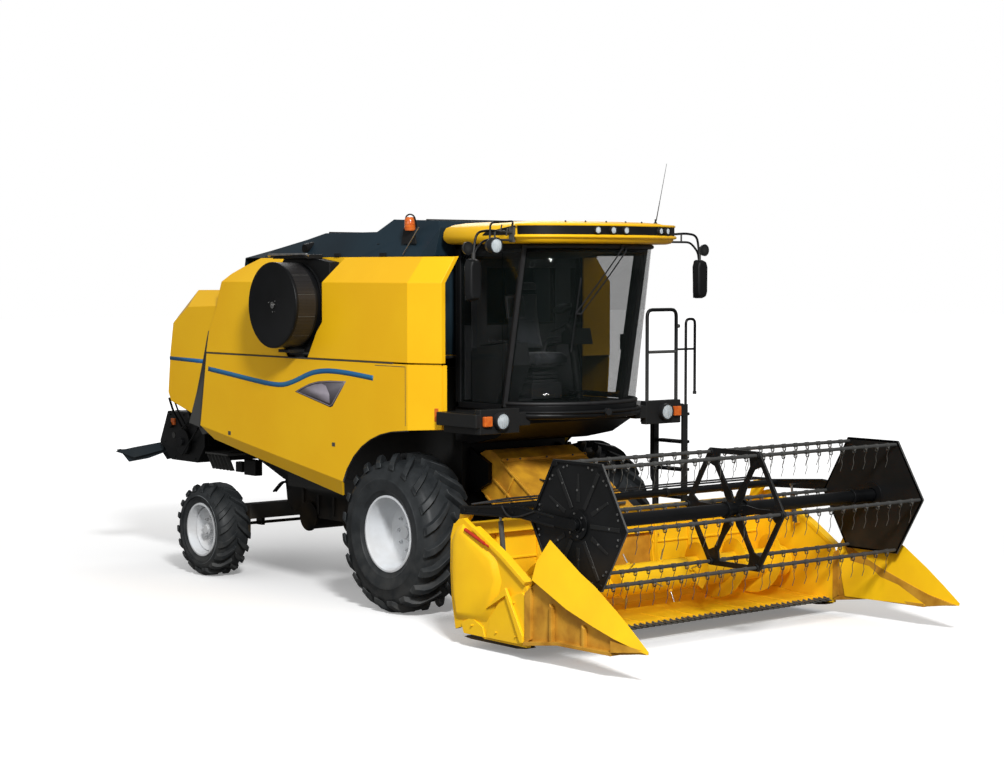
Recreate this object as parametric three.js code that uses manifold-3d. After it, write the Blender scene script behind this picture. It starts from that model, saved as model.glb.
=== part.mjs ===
// A combine harvester with its grain header and reel, as an assembly of moving pieces.
// Millimetres; x points to the machine's left, y to its rear, z up; the ground is z = 0.
// Pieces are laid out from the point on the ground under the front axle. The root group
// then moves everything so that the origin is the bottom centre of the whole machine.
import * as THREE from 'three';
import { mergeVertices } from 'three/addons/utils/BufferGeometryUtils.js';
import Module from 'manifold-3d';

const wasm = await Module();
wasm.setup();

// ---------------------------------------------------------------- driving sizes
const contactGap = 0.3;
const roundSegments = 24;

const frontTyre = { radius: 800, width: 600, centreX: 1200, beadRadius: 372, axleY: 0 };
const rearTyre = { radius: 520, width: 400, centreX: 1330, beadRadius: 286, axleY: 3465 };
const frontRim = { discInset: -60, hubRadius: 150, axleRadius: 118 };
const rearRim = { discInset: 10, hubRadius: 110, axleRadius: 70 };
const kingpinX = 980;
const rearBeam = { bottomZ: 600, topZ: 770 };

const sideX = 1450;
const sheetThickness = 25;
const chamferTopX = sideX - 200;
const chamferBottomZ = 3310;
const tankTopZ = 3570;
const splitZ = 2512;
const lowerPanelTopZ = 2506;
const upperPanelFootZ = 2521;
const panelHinge = { x: sideX, radius: 8 };
const rightPanelFrontY = -690;
const rightPanelFrontX = sideX - 150;
const rightPanelCreaseY = -320;
const leftPanelFrontY = -120;

const bodyHalfWidth = 690;
const bodyFrontY = -250;
const bodyBottomZ = 950;
const bodyRearY = 3940;
const deckTopZ = 2570;

const drum = { y: 1600, z: 3070, radius: 450, outerX: sideX + 300, innerX: sideX + 55 };
const unloader = {
  x: sideX - 30, y: 450, housingRadius: 130, tubeRadius: 150, z: 3700, endX: sideX + 110, endY: 4000,
};

const cab = {
  halfWidth: 800, rearY: -280, floorZ: 2060, roofZ: 3690, frontBottomY: -1050, frontTopY: -1360,
};
const cabWall = 50;
const floorDepth = 60;
const doorGap = 6;
const doorFrameWidth = 55;
const doorHinge = { x: cab.halfWidth + 8.5, y: -335, radius: 8 };
const glassThickness = 8;
const roof = { halfWidth: 990, rearY: -250, frontY: -1900, topZ: 3910 };

const feeder = {
  pivotY: -500, pivotZ: 1400, halfWidth: 550, halfDepth: 230, frontY: -1750, frontCentreZ: 594,
};
const liftAnchor = { y: -260, z: 700, x: 420 };
const liftEye = { y: -1400, z: 480 };
const liftRam = { barrelRadius: 46, bore: 28, rodRadius: 25, pinRadius: 20, eyeDrift: 18 };

const header = { innerHalfWidth: 1980, endThickness: 70, backY: -1750, knifeY: -2810, knifeZ: 150 };
const divider = { ridgeX: header.innerHalfWidth + 40, tipY: -4400, tipZ: 280 };
const headerAuger = { y: -2230, z: 480, tubeRadius: 150, flightRadius: 285, pitch: 520 };
const augerEndX = header.innerHalfWidth - 84;
const reel = {
  y: -3400, z: 1245, cornerRadius: 590, tubeRadius: 60, discX: header.innerHalfWidth - 60, discThickness: 24,
};
const tine = { barRadius: 17, length: 225, spacing: 320, radius: 5 };
const reelArm = {
  pivotY: -1890, pivotZ: 1240, innerX: header.innerHalfWidth - 30, outerX: header.innerHalfWidth,
};
const reelCylinder = {
  x: header.innerHalfWidth - 65, footY: -2390, footZ: 880, eyeY: -2340, eyeZ: 1262,
};
const reelRam = { barrelRadius: 24, bore: 14, rodRadius: 12, pinRadius: 12, eyeDrift: 13 };

const tailboard = {
  hingeY: 4915, hingeZ: 1405, rearY: 5560, rearZ: 1262, frontHalfWidth: 1100, rearHalfWidth: 1400,
};

const originY = (divider.tipY + tailboard.rearY) / 2;

// ---------------------------------------------------------------- finishes
function finish(color, roughness, metalness) {
  return new THREE.MeshStandardMaterial({ color, roughness, metalness });
}

const yellowPaint = finish(0xf2b51c, 0.35, 0.1);
const blackPaint = finish(0x15171a, 0.5, 0.2);
const slatePaint = finish(0x1c2b33, 0.45, 0.2);
const whitePaint = finish(0xd4d6d8, 0.4, 0.1);
const tyreRubber = finish(0x24272a, 0.9, 0);
const castGrey = finish(0x3a3d40, 0.6, 0.5);
const brightSteel = finish(0xb9bcc0, 0.25, 0.9);
const cabGlass = finish(0x30403c, 0.05, 0);
const seatCloth = finish(0x3b3d42, 0.95, 0);
const greyPlastic = finish(0x4a4a4a, 0.7, 0);

// ---------------------------------------------------------------- shape helpers
function signedVolume(positions, triangles) {
  const [a, b, c] = [new THREE.Vector3(), new THREE.Vector3(), new THREE.Vector3()];
  let volume = 0;
  for (let i = 0; i < triangles.length; i += 3) {
    a.fromArray(positions, 3 * triangles[i]);
    b.fromArray(positions, 3 * triangles[i + 1]);
    c.fromArray(positions, 3 * triangles[i + 2]);
    volume += a.dot(b.cross(c));
  }
  return volume / 6;
}

// Turns a closed geometry into a solid that can be joined and cut, with its faces out.
function solid(geometry) {
  const plain = geometry.clone();
  plain.deleteAttribute('normal');
  plain.deleteAttribute('uv');
  const merged = mergeVertices(plain, 0.01);
  const vertProperties = new Float32Array(merged.attributes.position.array);
  let triangles = Array.from(merged.index.array);
  triangles = dropFlatTriangles(triangles);
  if (signedVolume(vertProperties, triangles) < 0) triangles.reverse();
  const triVerts = new Uint32Array(triangles);
  return new wasm.Manifold(new wasm.Mesh({ numProp: 3, vertProperties, triVerts }));
}

function dropFlatTriangles(triangles) {
  const kept = [];
  for (let i = 0; i < triangles.length; i += 3) {
    const [a, b, c] = triangles.slice(i, i + 3);
    if (a !== b && b !== c && c !== a) kept.push(a, b, c);
  }
  return kept;
}

function geometryOf(piece) {
  const { vertProperties, triVerts } = piece.getMesh();
  const geometry = new THREE.BufferGeometry();
  geometry.setAttribute('position', new THREE.BufferAttribute(Float32Array.from(vertProperties), 3));
  geometry.setIndex(new THREE.BufferAttribute(Uint32Array.from(triVerts), 1));
  return geometry;
}

const join = (...pieces) => pieces.flat().reduce((whole, piece) => whole.add(piece));
const cut = (piece, ...tools) => tools.flat().reduce((rest, tool) => rest.subtract(tool), piece);

// The same piece on the other side of the machine.
function mirrored(piece) {
  const geometry = geometryOf(piece);
  geometry.scale(-1, 1, 1);
  return solid(geometry);
}

const bothSides = (piece) => [piece, mirrored(piece)];

function box(x0, x1, y0, y1, z0, z1) {
  const geometry = new THREE.BoxGeometry(x1 - x0, y1 - y0, z1 - z0);
  geometry.translate((x0 + x1) / 2, (y0 + y1) / 2, (z0 + z1) / 2);
  return solid(geometry);
}

function extruded(outline, depth, holes) {
  const toVectors = (points) => points.map(([u, v]) => new THREE.Vector2(u, v));
  const edge = toVectors(outline);
  if (THREE.ShapeUtils.isClockWise(edge)) edge.reverse();
  const shape = new THREE.Shape(edge);
  holes.forEach((hole) => shape.holes.push(new THREE.Path(toVectors(hole))));
  return new THREE.ExtrudeGeometry(shape, { depth, bevelEnabled: false });
}

// Plates: an outline drawn in (y, z), (x, z) or (x, y) and given a thickness across it.
function plateAlongX(outline, x0, x1, holes = []) {
  const geometry = extruded(outline, x1 - x0, holes);
  geometry.applyMatrix4(new THREE.Matrix4().set(0, 0, 1, x0, 1, 0, 0, 0, 0, 1, 0, 0, 0, 0, 0, 1));
  return solid(geometry);
}

function plateAlongY(outline, y0, y1, holes = []) {
  const geometry = extruded(outline, y1 - y0, holes);
  geometry.applyMatrix4(new THREE.Matrix4().set(1, 0, 0, 0, 0, 0, -1, y1, 0, 1, 0, 0, 0, 0, 0, 1));
  return solid(geometry);
}

function plateAlongZ(outline, z0, z1, holes = []) {
  const geometry = extruded(outline, z1 - z0, holes);
  geometry.translate(0, 0, z0);
  return solid(geometry);
}

// A round bar between two points.
function bar(from, to, radius, segments = 8) {
  const start = new THREE.Vector3(...from);
  const end = new THREE.Vector3(...to);
  const geometry = new THREE.CylinderGeometry(radius, radius, start.distanceTo(end), segments);
  const direction = end.clone().sub(start).normalize();
  geometry.applyQuaternion(new THREE.Quaternion().setFromUnitVectors(new THREE.Vector3(0, 1, 0), direction));
  const middle = start.add(end).multiplyScalar(0.5);
  geometry.translate(middle.x, middle.y, middle.z);
  return solid(geometry);
}

const axleBar = (x0, x1, y, z, radius, segments = 16) => bar([x0, y, z], [x1, y, z], radius, segments);

// A hole for such a bar: its flats lie at the radius, so that the bar never touches them.
function bore(x0, x1, y, z, radius, segments = 16) {
  return axleBar(x0, x1, y, z, radius / Math.cos(Math.PI / segments), segments);
}

// A bent round bar: straight lengths with a ball at each bend.
function bentBar(points, radius, segments = 6) {
  const lengths = points.slice(1).map((point, i) => bar(points[i], point, radius, segments));
  const bends = points.slice(1, -1).map((point) => {
    const ball = new THREE.IcosahedronGeometry(radius * 1.2, 0);
    ball.translate(...point);
    return solid(ball);
  });
  return join(lengths, bends);
}

// A closed ring profile of [radius, x] turned round the x axis, with a flat at the bottom.
function turned(profile, y, z, segments = roundSegments) {
  const outward = 1 / Math.cos(Math.PI / segments);
  const points = [...profile, profile[0]].map(([r, x]) => new THREE.Vector2(r * outward, x));
  const geometry = new THREE.LatheGeometry(points, segments, Math.PI / segments);
  geometry.rotateZ(-Math.PI / 2);
  geometry.translate(0, y, z);
  return solid(geometry);
}

// A skin between two equal grids of points, closed round its edges.
function skin(outer, inner) {
  const rows = outer.length;
  const columns = outer[0].length;
  const positions = [...outer.flat(), ...inner.flat()].flat();
  const index = (layer, i, j) => layer * rows * columns + i * columns + j;
  const triangles = [];
  const quad = (a, b, c, d) => triangles.push(a, b, c, a, c, d);
  for (let i = 0; i < rows - 1; i += 1) {
    for (let j = 0; j < columns - 1; j += 1) {
      quad(index(0, i, j), index(0, i + 1, j), index(0, i + 1, j + 1), index(0, i, j + 1));
      quad(index(1, i, j), index(1, i, j + 1), index(1, i + 1, j + 1), index(1, i + 1, j));
    }
  }
  const rim = [];
  for (let j = 0; j < columns - 1; j += 1) rim.push([0, j]);
  for (let i = 0; i < rows - 1; i += 1) rim.push([i, columns - 1]);
  for (let j = columns - 1; j > 0; j -= 1) rim.push([rows - 1, j]);
  for (let i = rows - 1; i > 0; i -= 1) rim.push([i, 0]);
  rim.forEach(([i, j], k) => {
    const [m, n] = rim[(k + 1) % rim.length];
    quad(index(0, i, j), index(0, m, n), index(1, m, n), index(1, i, j));
  });
  const geometry = new THREE.BufferGeometry();
  geometry.setAttribute('position', new THREE.Float32BufferAttribute(positions, 3));
  geometry.setIndex(triangles);
  return solid(geometry);
}

const shifted = (grid, [dx, dy, dz]) => grid.map((row) => row.map(([x, y, z]) => [x + dx, y + dy, z + dz]));

// A solid drawn through a row of rings with equal numbers of points, closed by flat fans.
function lofted(rings) {
  const count = rings[0].length;
  const positions = rings.flat(2);
  const triangles = [];
  for (let i = 0; i < rings.length - 1; i += 1) {
    for (let j = 0; j < count; j += 1) {
      const next = (j + 1) % count;
      triangles.push(i * count + j, i * count + next, (i + 1) * count + next);
      triangles.push(i * count + j, (i + 1) * count + next, (i + 1) * count + j);
    }
  }
  const last = (rings.length - 1) * count;
  for (let j = 1; j < count - 1; j += 1) {
    triangles.push(0, j + 1, j);
    triangles.push(last, last + j, last + j + 1);
  }
  const geometry = new THREE.BufferGeometry();
  geometry.setAttribute('position', new THREE.Float32BufferAttribute(positions, 3));
  geometry.setIndex(triangles);
  return solid(geometry);
}

function circle(u, v, radius, count = 16) {
  return Array.from({ length: count }, (_, i) => {
    const angle = (2 * Math.PI * i) / count;
    return [u + radius * Math.cos(angle), v + radius * Math.sin(angle)];
  });
}

const root = new THREE.Group();
root.position.y = -originY;

function add(name, piece, material) {
  const mesh = new THREE.Mesh(geometryOf(piece), material);
  mesh.name = name;
  root.add(mesh);
}

// ---------------------------------------------------------------- wheels and axles
function tyreBody(tyre) {
  const half = tyre.width / 2;
  const wall = tyre.radius - tyre.beadRadius;
  const bead = tyre.beadRadius + contactGap;
  const profile = [
    [bead, -half * 0.78],
    [bead + wall * 0.45, -half],
    [tyre.radius, -half * 0.84],
    [tyre.radius, half * 0.84],
    [bead + wall * 0.45, half],
    [bead, half * 0.78],
  ].map(([r, x]) => [r, x + tyre.centreX]);
  return turned(profile, tyre.axleY, tyre.radius);
}

function rimBody(tyre, rim) {
  const half = tyre.width / 2;
  const lip = tyre.beadRadius;
  const disc = rim.discInset;
  const profile = [
    [rim.axleRadius * 0.35, disc - 12],
    [lip - 22, disc - 12],
    [lip - 22, -half * 0.78],
    [lip, -half * 0.78],
    [lip, half * 0.78],
    [lip - 18, half * 0.78],
    [lip - 30, disc + 60],
    [rim.hubRadius + 40, disc + 8],
    [rim.hubRadius, disc + 8],
    [rim.hubRadius - 12, disc + 70],
    [rim.axleRadius * 0.35, disc + 70],
  ].map(([r, x]) => [r, x + tyre.centreX]);
  return turned(profile, tyre.axleY, tyre.radius);
}

function spindle(tyre, rim, fromX) {
  const discBack = tyre.centreX + rim.discInset - 12;
  const flange = axleBar(fromX, discBack - 1, tyre.axleY, tyre.radius, rim.axleRadius);
  const pin = axleBar(fromX, discBack + 60, tyre.axleY, tyre.radius, rim.axleRadius * 0.35 - contactGap);
  return join(flange, pin);
}

function frontAxle() {
  const top = bodyBottomZ - contactGap;
  const beam = box(-710, 710, -140, 140, 700, 900);
  const saddle = box(-600, 600, -130, 130, 880, top);
  const driveOutline = [[-190, 620], [190, 620], [230, 1000], [60, 1180], [-160, 1080]];
  const drives = bothSides(plateAlongX(driveOutline, 699, 860));
  const spindles = bothSides(spindle(frontTyre, frontRim, 850));
  const lug = plateAlongX([[-120, 640], [-120, 800], [-230, 780], [-310, 720], [-310, 650]], 475, 505);
  const pinHole = bore(-520, 520, liftAnchor.y, liftAnchor.z, 30.1);
  return cut(join(beam, saddle, drives, spindles, bothSides(lug)), pinHole);
}

function rearAxleBeam() {
  const beam = box(-900, 900, 3385, 3545, rearBeam.bottomZ, rearBeam.topZ);
  const yoke = cut(box(880, kingpinX + 60, 3395, 3535, 385, 735), box(930, 1100, 3380, 3550, 440, 680));
  const yokes = bothSides(yoke);
  const pinHoles = bothSides(bar([kingpinX, 3465, 300], [kingpinX, 3465, 800], 26, 16));
  const tieRod = bar([-760, 3640, 520], [760, 3640, 520], 18);
  const tieBrackets = bothSides(box(600, 640, 3530, 3650, 500, rearBeam.bottomZ + 20));
  return cut(join(beam, yokes, tieRod, tieBrackets), pinHoles);
}

function knuckle() {
  const block = join(
    bar([kingpinX, 3465, 446], [kingpinX, 3465, 674], 40, 16),
    box(kingpinX, 1080, 3427, 3503, 446, 674),
  );
  const kingpin = bar([kingpinX, 3465, 386], [kingpinX, 3465, 734], 25.5, 16);
  return join(block, kingpin, spindle(rearTyre, rearRim, 1070));
}

// ---------------------------------------------------------------- body
function threshingBody() {
  const outline = [
    [bodyFrontY, bodyBottomZ], [2300, bodyBottomZ], [3000, 1080], [3480, 1250], [bodyRearY, 1400],
    [bodyRearY, 2300], [3300, 2450], [bodyFrontY, 2450],
  ];
  const core = plateAlongX(outline, -bodyHalfWidth, bodyHalfWidth);
  const inside = sideX - sheetThickness - contactGap;
  const deckFootZ = 2541;
  const deck = box(-inside, inside, leftPanelFrontY + 10, 3150, deckFootZ, deckTopZ);
  const deckPosts = box(-600, 600, 0, 3100, 2400, deckFootZ + 10);
  const leafInnerX = sideX - 70;
  const leafX = panelHinge.x - panelHinge.radius - 0.1;
  const leaves = [100, 1500, 2900].map((y) => bothSides(join(
    box(leafInnerX, leafX, y, y + 160, splitZ + 2, splitZ + 7),
    box(leafInnerX, inside, y, y + 160, splitZ + 2, deckFootZ + 10),
  )));
  const pedestal = box(-200, 200, 3340, 3590, rearBeam.topZ + contactGap, 1300);
  const shoeOutline = [[1500, 1000], [1720, 660], [3030, 660], [3180, 800], [3260, 1250], [1500, 1250]];
  const shoe = plateAlongX(shoeOutline, -520, 520);
  const cheekRear = bodyFrontY + 5;
  const cheek = plateAlongX([[cheekRear, 1150], [cheekRear, 1640], [-560, 1500], [-560, 1300]], 557, 600);
  const pin = axleBar(532, 600, feeder.pivotY, feeder.pivotZ, 34);
  const rails = bothSides(box(650, 698, bodyFrontY, 2900, bodyBottomZ + 60, bodyBottomZ + 220));
  const cheeks = bothSides(join(cheek, pin));
  return join(core, shoe, deckPosts, deck, leaves.flat(), pedestal, cheeks, rails);
}

function upperShape(inset, frontY) {
  const side = sideX - inset;
  const slant = inset * 0.5;
  const across = plateAlongY([
    [0, upperPanelFootZ], [side, upperPanelFootZ], [side, chamferBottomZ - slant],
    [chamferTopX - slant, tankTopZ - inset * 0.2], [0, tankTopZ - inset * 0.2],
  ], frontY, 3500);
  return across;
}

const upperRear = [[3405, 2500], [3350, 2740], [3190, 3020], [3090, 3280], [2970, 3400], [2580, 3600]];

function upperPanel(frontY, notch) {
  const shell = cut(upperShape(0, frontY), upperShape(sheetThickness, frontY - 10));
  const outline = [[frontY, 2500], ...upperRear, [frontY, 3600]];
  const sideView = plateAlongX(outline, chamferTopX - 35, sideX + 10);
  return cut(shell.intersect(sideView), notch);
}

function rightUpperPanel() {
  const opening = plateAlongX([
    [970, 3620], [1130, 3310], [1130, 2900], [1230, 2800], [1400, 2545], [1780, 2545], [1950, 2780],
    [2070, 2900], [2070, 3310], [2150, 3620],
  ], sideX - 450, sideX + 50);
  const flat = upperPanel(rightPanelFrontY, opening);
  const keep = cut(flat, box(sideX - 450, sideX + 50, -800, rightPanelCreaseY, 2400, 3700));
  const bend = (inset) => [
    [[rightPanelFrontX - inset, rightPanelFrontY, upperPanelFootZ],
      [rightPanelFrontX - inset, rightPanelFrontY, chamferBottomZ - inset * 0.5],
      [chamferTopX - 120 - inset, rightPanelFrontY, tankTopZ - inset * 0.2]],
    [[sideX - inset, rightPanelCreaseY + 0.5, upperPanelFootZ],
      [sideX - inset, rightPanelCreaseY + 0.5, chamferBottomZ - inset * 0.5],
      [chamferTopX - inset * 0.5, rightPanelCreaseY + 0.5, tankTopZ - inset * 0.2]],
  ];
  return mirrored(join(keep, skin(bend(0), bend(sheetThickness))));
}

function unloaderClearance() {
  const { x, y, housingRadius } = unloader;
  return bar([x, y, 2400], [x, y, 4200], housingRadius + 10, 24);
}

function leftUpperPanel() {
  const rear = leftPanelFrontY + sheetThickness;
  const frontFace = box(sideX - 390, sideX - 5, leftPanelFrontY, rear, 2600, 3300);
  const panel = upperPanel(leftPanelFrontY, unloaderClearance());
  return join(panel, frontFace);
}

// Side skin below the split: upright wall, then a facet tucked under at its foot.
function lowerPanel(front) {
  const hingeFrontY = Math.max(front, rightPanelCreaseY + 10);
  const hinge = bar([panelHinge.x, hingeFrontY, splitZ], [panelHinge.x, 3410, splitZ], panelHinge.radius);
  const top = lowerPanelTopZ;
  const station = (yTop, yMiddle, zMiddle, yCrease, zCrease, yFoot, zFoot, footInset, sideInset = 0) => [
    [sideX - sideInset, yTop, top],
    [sideX - sideInset, yMiddle, zMiddle],
    [sideX - sideInset, yCrease, zCrease],
    [sideX - sideInset - footInset, yFoot, zFoot],
  ];
  const arch = (y, z, inset = 0) => station(y, y, (top + z) / 2, y, z + 40, y, z, 12, inset);
  const frontRows = front === rightPanelFrontY
    ? [arch(rightPanelFrontY, 1880, sideX - rightPanelFrontX), arch(rightPanelCreaseY, 1850)]
    : [arch(front, 1835)];
  const rows = [
    ...frontRows,
    arch(-70, 1830),
    arch(290, 1730),
    arch(580, 1540),
    station(760, 765, 1900, 770, 1270, 850, 1110, 70),
    station(2100, 2120, 2000, 2130, 1477, 2080, 1320, 70),
    station(3420, 3610, 1940, 3540, 1680, 3350, 1540, 70),
  ];
  return join(skin(rows, shifted(rows, [-sheetThickness, 0, 6])), hinge);
}

function rearHood() {
  const half = sideX - 50;
  const inside = half - sheetThickness;
  const ridgeX = half - 110;
  const outline = [
    [3215, 3210], [3820, 3210], [4120, 3000], [4200, 2830], [4270, 2480], [4320, 2030], [4260, 1930],
    [3760, 1800], [3640, 1960], [3440, 2560], [3375, 2760], [3215, 3040],
  ];
  const inner = [
    [3000, 3185], [3810, 3185], [4100, 2985], [4176, 2820], [4245, 2475], [4295, 2030], [4200, 1700],
    [3000, 1700],
  ];
  const shell = cut(plateAlongX(outline, -half, half), plateAlongX(inner, -inside, inside));
  const across = [
    [-half, 1700], [half, 1700], [half, 3080], [ridgeX, 3210.5], [-ridgeX, 3210.5], [-half, 3080],
  ];
  const ridge = plateAlongY(across, 3000, 4400);
  const hanger = box(-half + 20, half - 20, 3960, 4000, 2150, 2240);
  const tie = box(-500, 500, bodyRearY + contactGap, 3970, 2150, 2240);
  return join(shell.intersect(ridge), hanger, tie);
}

function grainTank() {
  const { x, y, housingRadius } = unloader;
  const half = sideX - 250;
  const frontY = leftPanelFrontY + sheetThickness + contactGap;
  const footZ = deckTopZ + contactGap;
  const block = box(-half, half, frontY, 2150, footZ, tankTopZ);
  const lift = bar([x, y, footZ], [x, y, 3500], housingRadius, 24);
  const chute = box(half - 100, x, y - 90, y + 90, footZ, 2800);
  return join(block, lift, chute);
}

function tankCover() {
  const half = sideX - 250;
  const outline = [
    [-200, 3570.5], [-230, 3860], [-180, 3930], [560, 3955], [800, 3830], [1730, 3830], [2010, 3760],
    [2970, 3590], [3090, 3290], [3180, 3040], [3160, 3030], [3060, 3290], [2940, 3550.5], [2200, 3550.5],
    [2190, 3570.5],
  ];
  const slab = plateAlongX(outline, -half, half);
  const rightSide = [[half + 5, 3000], [half + 5, 3570.3], [half - 80, 3840], [half - 240, 3960]];
  const leftSide = rightSide.map(([x, z]) => [-x, z]).reverse();
  const cross = plateAlongY([...rightSide, ...leftSide], -400, 3400);
  return cut(slab.intersect(cross), unloaderClearance());
}

function dustScreenDrum() {
  const { y, z, radius, outerX, innerX } = drum;
  const wall = radius - 15;
  const face = turned([
    [20, outerX - 20], [20, outerX], [radius - 12, outerX], [radius, outerX - 12],
    [radius, innerX], [wall, innerX], [wall, outerX - 20],
  ], y, z);
  const shaft = axleBar(innerX - 25, outerX + 4, y, z, 30);
  return mirrored(join(face, shaft));
}

function dustScreenHousing() {
  const backX = sideX - 70;
  const frontX = drum.innerX - 6;
  const ringRadius = drum.radius - 30;
  const bearing = 30 + contactGap;
  const profile = [[bearing, backX], [ringRadius, backX], [ringRadius, frontX], [bearing, frontX]];
  const ring = turned(profile, drum.y, drum.z);
  const ductX = sideX - 250 + contactGap;
  const duct = box(ductX, backX + 12, 1300, 1900, deckTopZ + contactGap, 3300);
  const foot = box(backX + 10, sideX + 190, 1490, 1690, 2572, 2606);
  return mirrored(join(ring, duct, foot));
}

function unloaderTube() {
  const { x, y, z, endX, endY, housingRadius, tubeRadius } = unloader;
  const turret = bar([x, y, 3500.5], [x, y, z], housingRadius, 24);
  const elbow = bar([x, y - 120, z], [endX, endY, z], tubeRadius, 24);
  const spoutOutline = [[3800, 3700], [4000, 3700], [4080, 3520], [3960, 3480], [3780, 3560]];
  const spout = plateAlongX(spoutOutline, endX - 120, endX + 120);
  return join(turret, elbow, spout);
}

// ---------------------------------------------------------------- cab
const pillarY = (z) => {
  const share = (z - cab.floorZ) / (cab.roofZ - cab.floorZ);
  return cab.frontBottomY + share * (cab.frontTopY - cab.frontBottomY);
};

function sideOpening(inset) {
  const low = cab.floorZ + floorDepth + inset;
  const high = cab.roofZ - cabWall - inset;
  const rear = cab.rearY - 60 - inset;
  const front = 60 + inset;
  return [[pillarY(low) + front, low], [pillarY(high) + front, high], [rear, high], [rear, low]];
}

function cabShell() {
  const { halfWidth, rearY, floorZ, roofZ, frontBottomY, frontTopY } = cab;
  const profile = [[frontBottomY, floorZ], [frontTopY, roofZ], [rearY, roofZ], [rearY, floorZ]];
  const whole = plateAlongX(profile, -halfWidth, halfWidth);
  const [low, high, back] = [floorZ + floorDepth, roofZ - cabWall, rearY - cabWall];
  const room = [[-1900, low], [-1900, high], [back, high], [back, low]];
  const inside = plateAlongX(room, -halfWidth + cabWall, halfWidth - cabWall);
  const openings = plateAlongX(sideOpening(0), -halfWidth - 100, halfWidth + 100);
  const rearWindow = box(-450, 450, -400, -200, 2900, 3500);
  const sill = plateAlongZ(bowOutline(0, frontBottomY + 20), floorZ, low);
  return join(cut(whole, inside, openings, rearWindow), sill);
}

// How far the windscreen stands in front of the pillars, at its middle.
const screenBow = (z) => 540 - (140 * (z - cab.floorZ)) / (cab.roofZ - cab.floorZ);

function bowPoint(angle, z, outward) {
  const x = (cab.halfWidth - 2 + outward * 0.6) * Math.sin(angle);
  const y = pillarY(z) - 2 - (screenBow(z) + outward) * Math.cos(angle);
  return [x, y];
}

function bowOutline(outward, backY) {
  const steps = 14;
  const arc = Array.from({ length: steps + 1 }, (_, i) => {
    const angle = -Math.PI / 2 + (Math.PI * i) / steps;
    return bowPoint(angle, cab.floorZ + floorDepth, outward);
  });
  const side = arc[0][0];
  return [[side, backY], ...arc.slice(1, -1), [-side, backY]];
}

function windscreen() {
  const heights = [cab.floorZ + floorDepth + contactGap, 2500, 3000, 3400, cab.roofZ - 4];
  const steps = 14;
  const grid = (inward) => heights.map((z) => Array.from({ length: steps + 1 }, (_, i) => {
    const angle = -Math.PI / 2 + (Math.PI * i) / steps;
    const [x, y] = bowPoint(angle, z, -inward);
    return [x, y, z];
  }));
  return skin(grid(0), grid(glassThickness));
}

function sideGlass() {
  const outer = -cab.halfWidth + 15;
  return plateAlongX(sideOpening(contactGap), outer, outer + glassThickness);
}

function cabDoor() {
  const window = sideOpening(doorGap + doorFrameWidth);
  const frame = plateAlongX(sideOpening(doorGap), cab.halfWidth - 40, cab.halfWidth, [window]);
  const hinges = [2300, 3400].map((z) => join(
    bar([doorHinge.x, doorHinge.y, z], [doorHinge.x, doorHinge.y, z + 90], doorHinge.radius),
    box(doorHinge.x - 4, doorHinge.x + 4, doorHinge.y - 50, doorHinge.y, z, z + 90),
    box(cab.halfWidth - 5, doorHinge.x, doorHinge.y - 50, doorHinge.y - 11, z, z + 90),
  ));
  return join(frame, hinges);
}

function doorGlass() {
  const outline = sideOpening(doorGap + doorFrameWidth + contactGap);
  const inner = cab.halfWidth - 25;
  return plateAlongX(outline, inner, inner + glassThickness);
}

function cabRoof() {
  const ring = (z, inset) => {
    const half = roof.halfWidth - inset;
    const shoulderY = -1430;
    const front = roof.frontY + inset;
    const arc = Array.from({ length: 9 }, (_, i) => {
      const angle = (Math.PI * i) / 8;
      return [half * Math.cos(angle), shoulderY - (shoulderY - front) * Math.sin(angle) ** 0.8, z];
    });
    return [[half - 60, roof.rearY - inset, z], [half, roof.rearY - 80 - inset, z], ...arc,
      [-half, roof.rearY - 80 - inset, z], [-half + 60, roof.rearY - inset, z]];
  };
  const levels = [[cab.roofZ + contactGap, 60], [3730, 10], [3830, 0], [3885, 60], [roof.topZ, 240]];
  const rings = levels.map(([z, inset]) => ring(z, inset));
  const aerial = bar([800, -1500, 3860], [800, -1660, 4500], 5, 6);
  return join(lofted(rings), aerial);
}

function operatorSeat() {
  const cushion = box(-250, 250, -880, -400, 2480 + contactGap, 2600);
  const backrest = plateAlongX([[-480, 2590], [-370, 3230], [-345, 3230], [-375, 2590]], -230, 230);
  return join(cushion, backrest);
}

function steeringColumn() {
  const floor = cab.floorZ + floorDepth + contactGap;
  const foot = box(-80, 80, -1330, -1170, floor, floor + 60);
  const post = join(bar([0, -1250, floor + 30], [0, -1110, 2860], 45), foot);
  const wheelRing = new THREE.TorusGeometry(200, 16, 5, 14);
  wheelRing.rotateX(-0.5);
  wheelRing.translate(0, -1085, 2900);
  const hub = bar([0, -1125, 2840], [0, -1085, 2900], 40);
  const spokes = [
    bar([-200, -1085, 2900], [200, -1085, 2900], 12),
    bar([0, -1085, 2900], [0, -1000, 2740], 12),
  ];
  return join(post, solid(wheelRing), hub, spokes);
}

// The seat's plinth and the console at its right, on one floor plate.
function seatPlinth() {
  const floor = cab.floorZ + floorDepth + contactGap;
  const plinth = box(-200, 200, -760, -420, floor, 2480);
  const consoleOutline = [
    [-1000, 2500], [-960, 2720], [-500, 2660], [-420, 2660], [-420, floor], [-800, floor],
  ];
  const sideConsole = plateAlongX(consoleOutline, 100 - cab.halfWidth, -420);
  const plate = box(-600, 200, -760, -420, floor, floor + 25);
  return join(plinth, sideConsole, plate);
}

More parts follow.
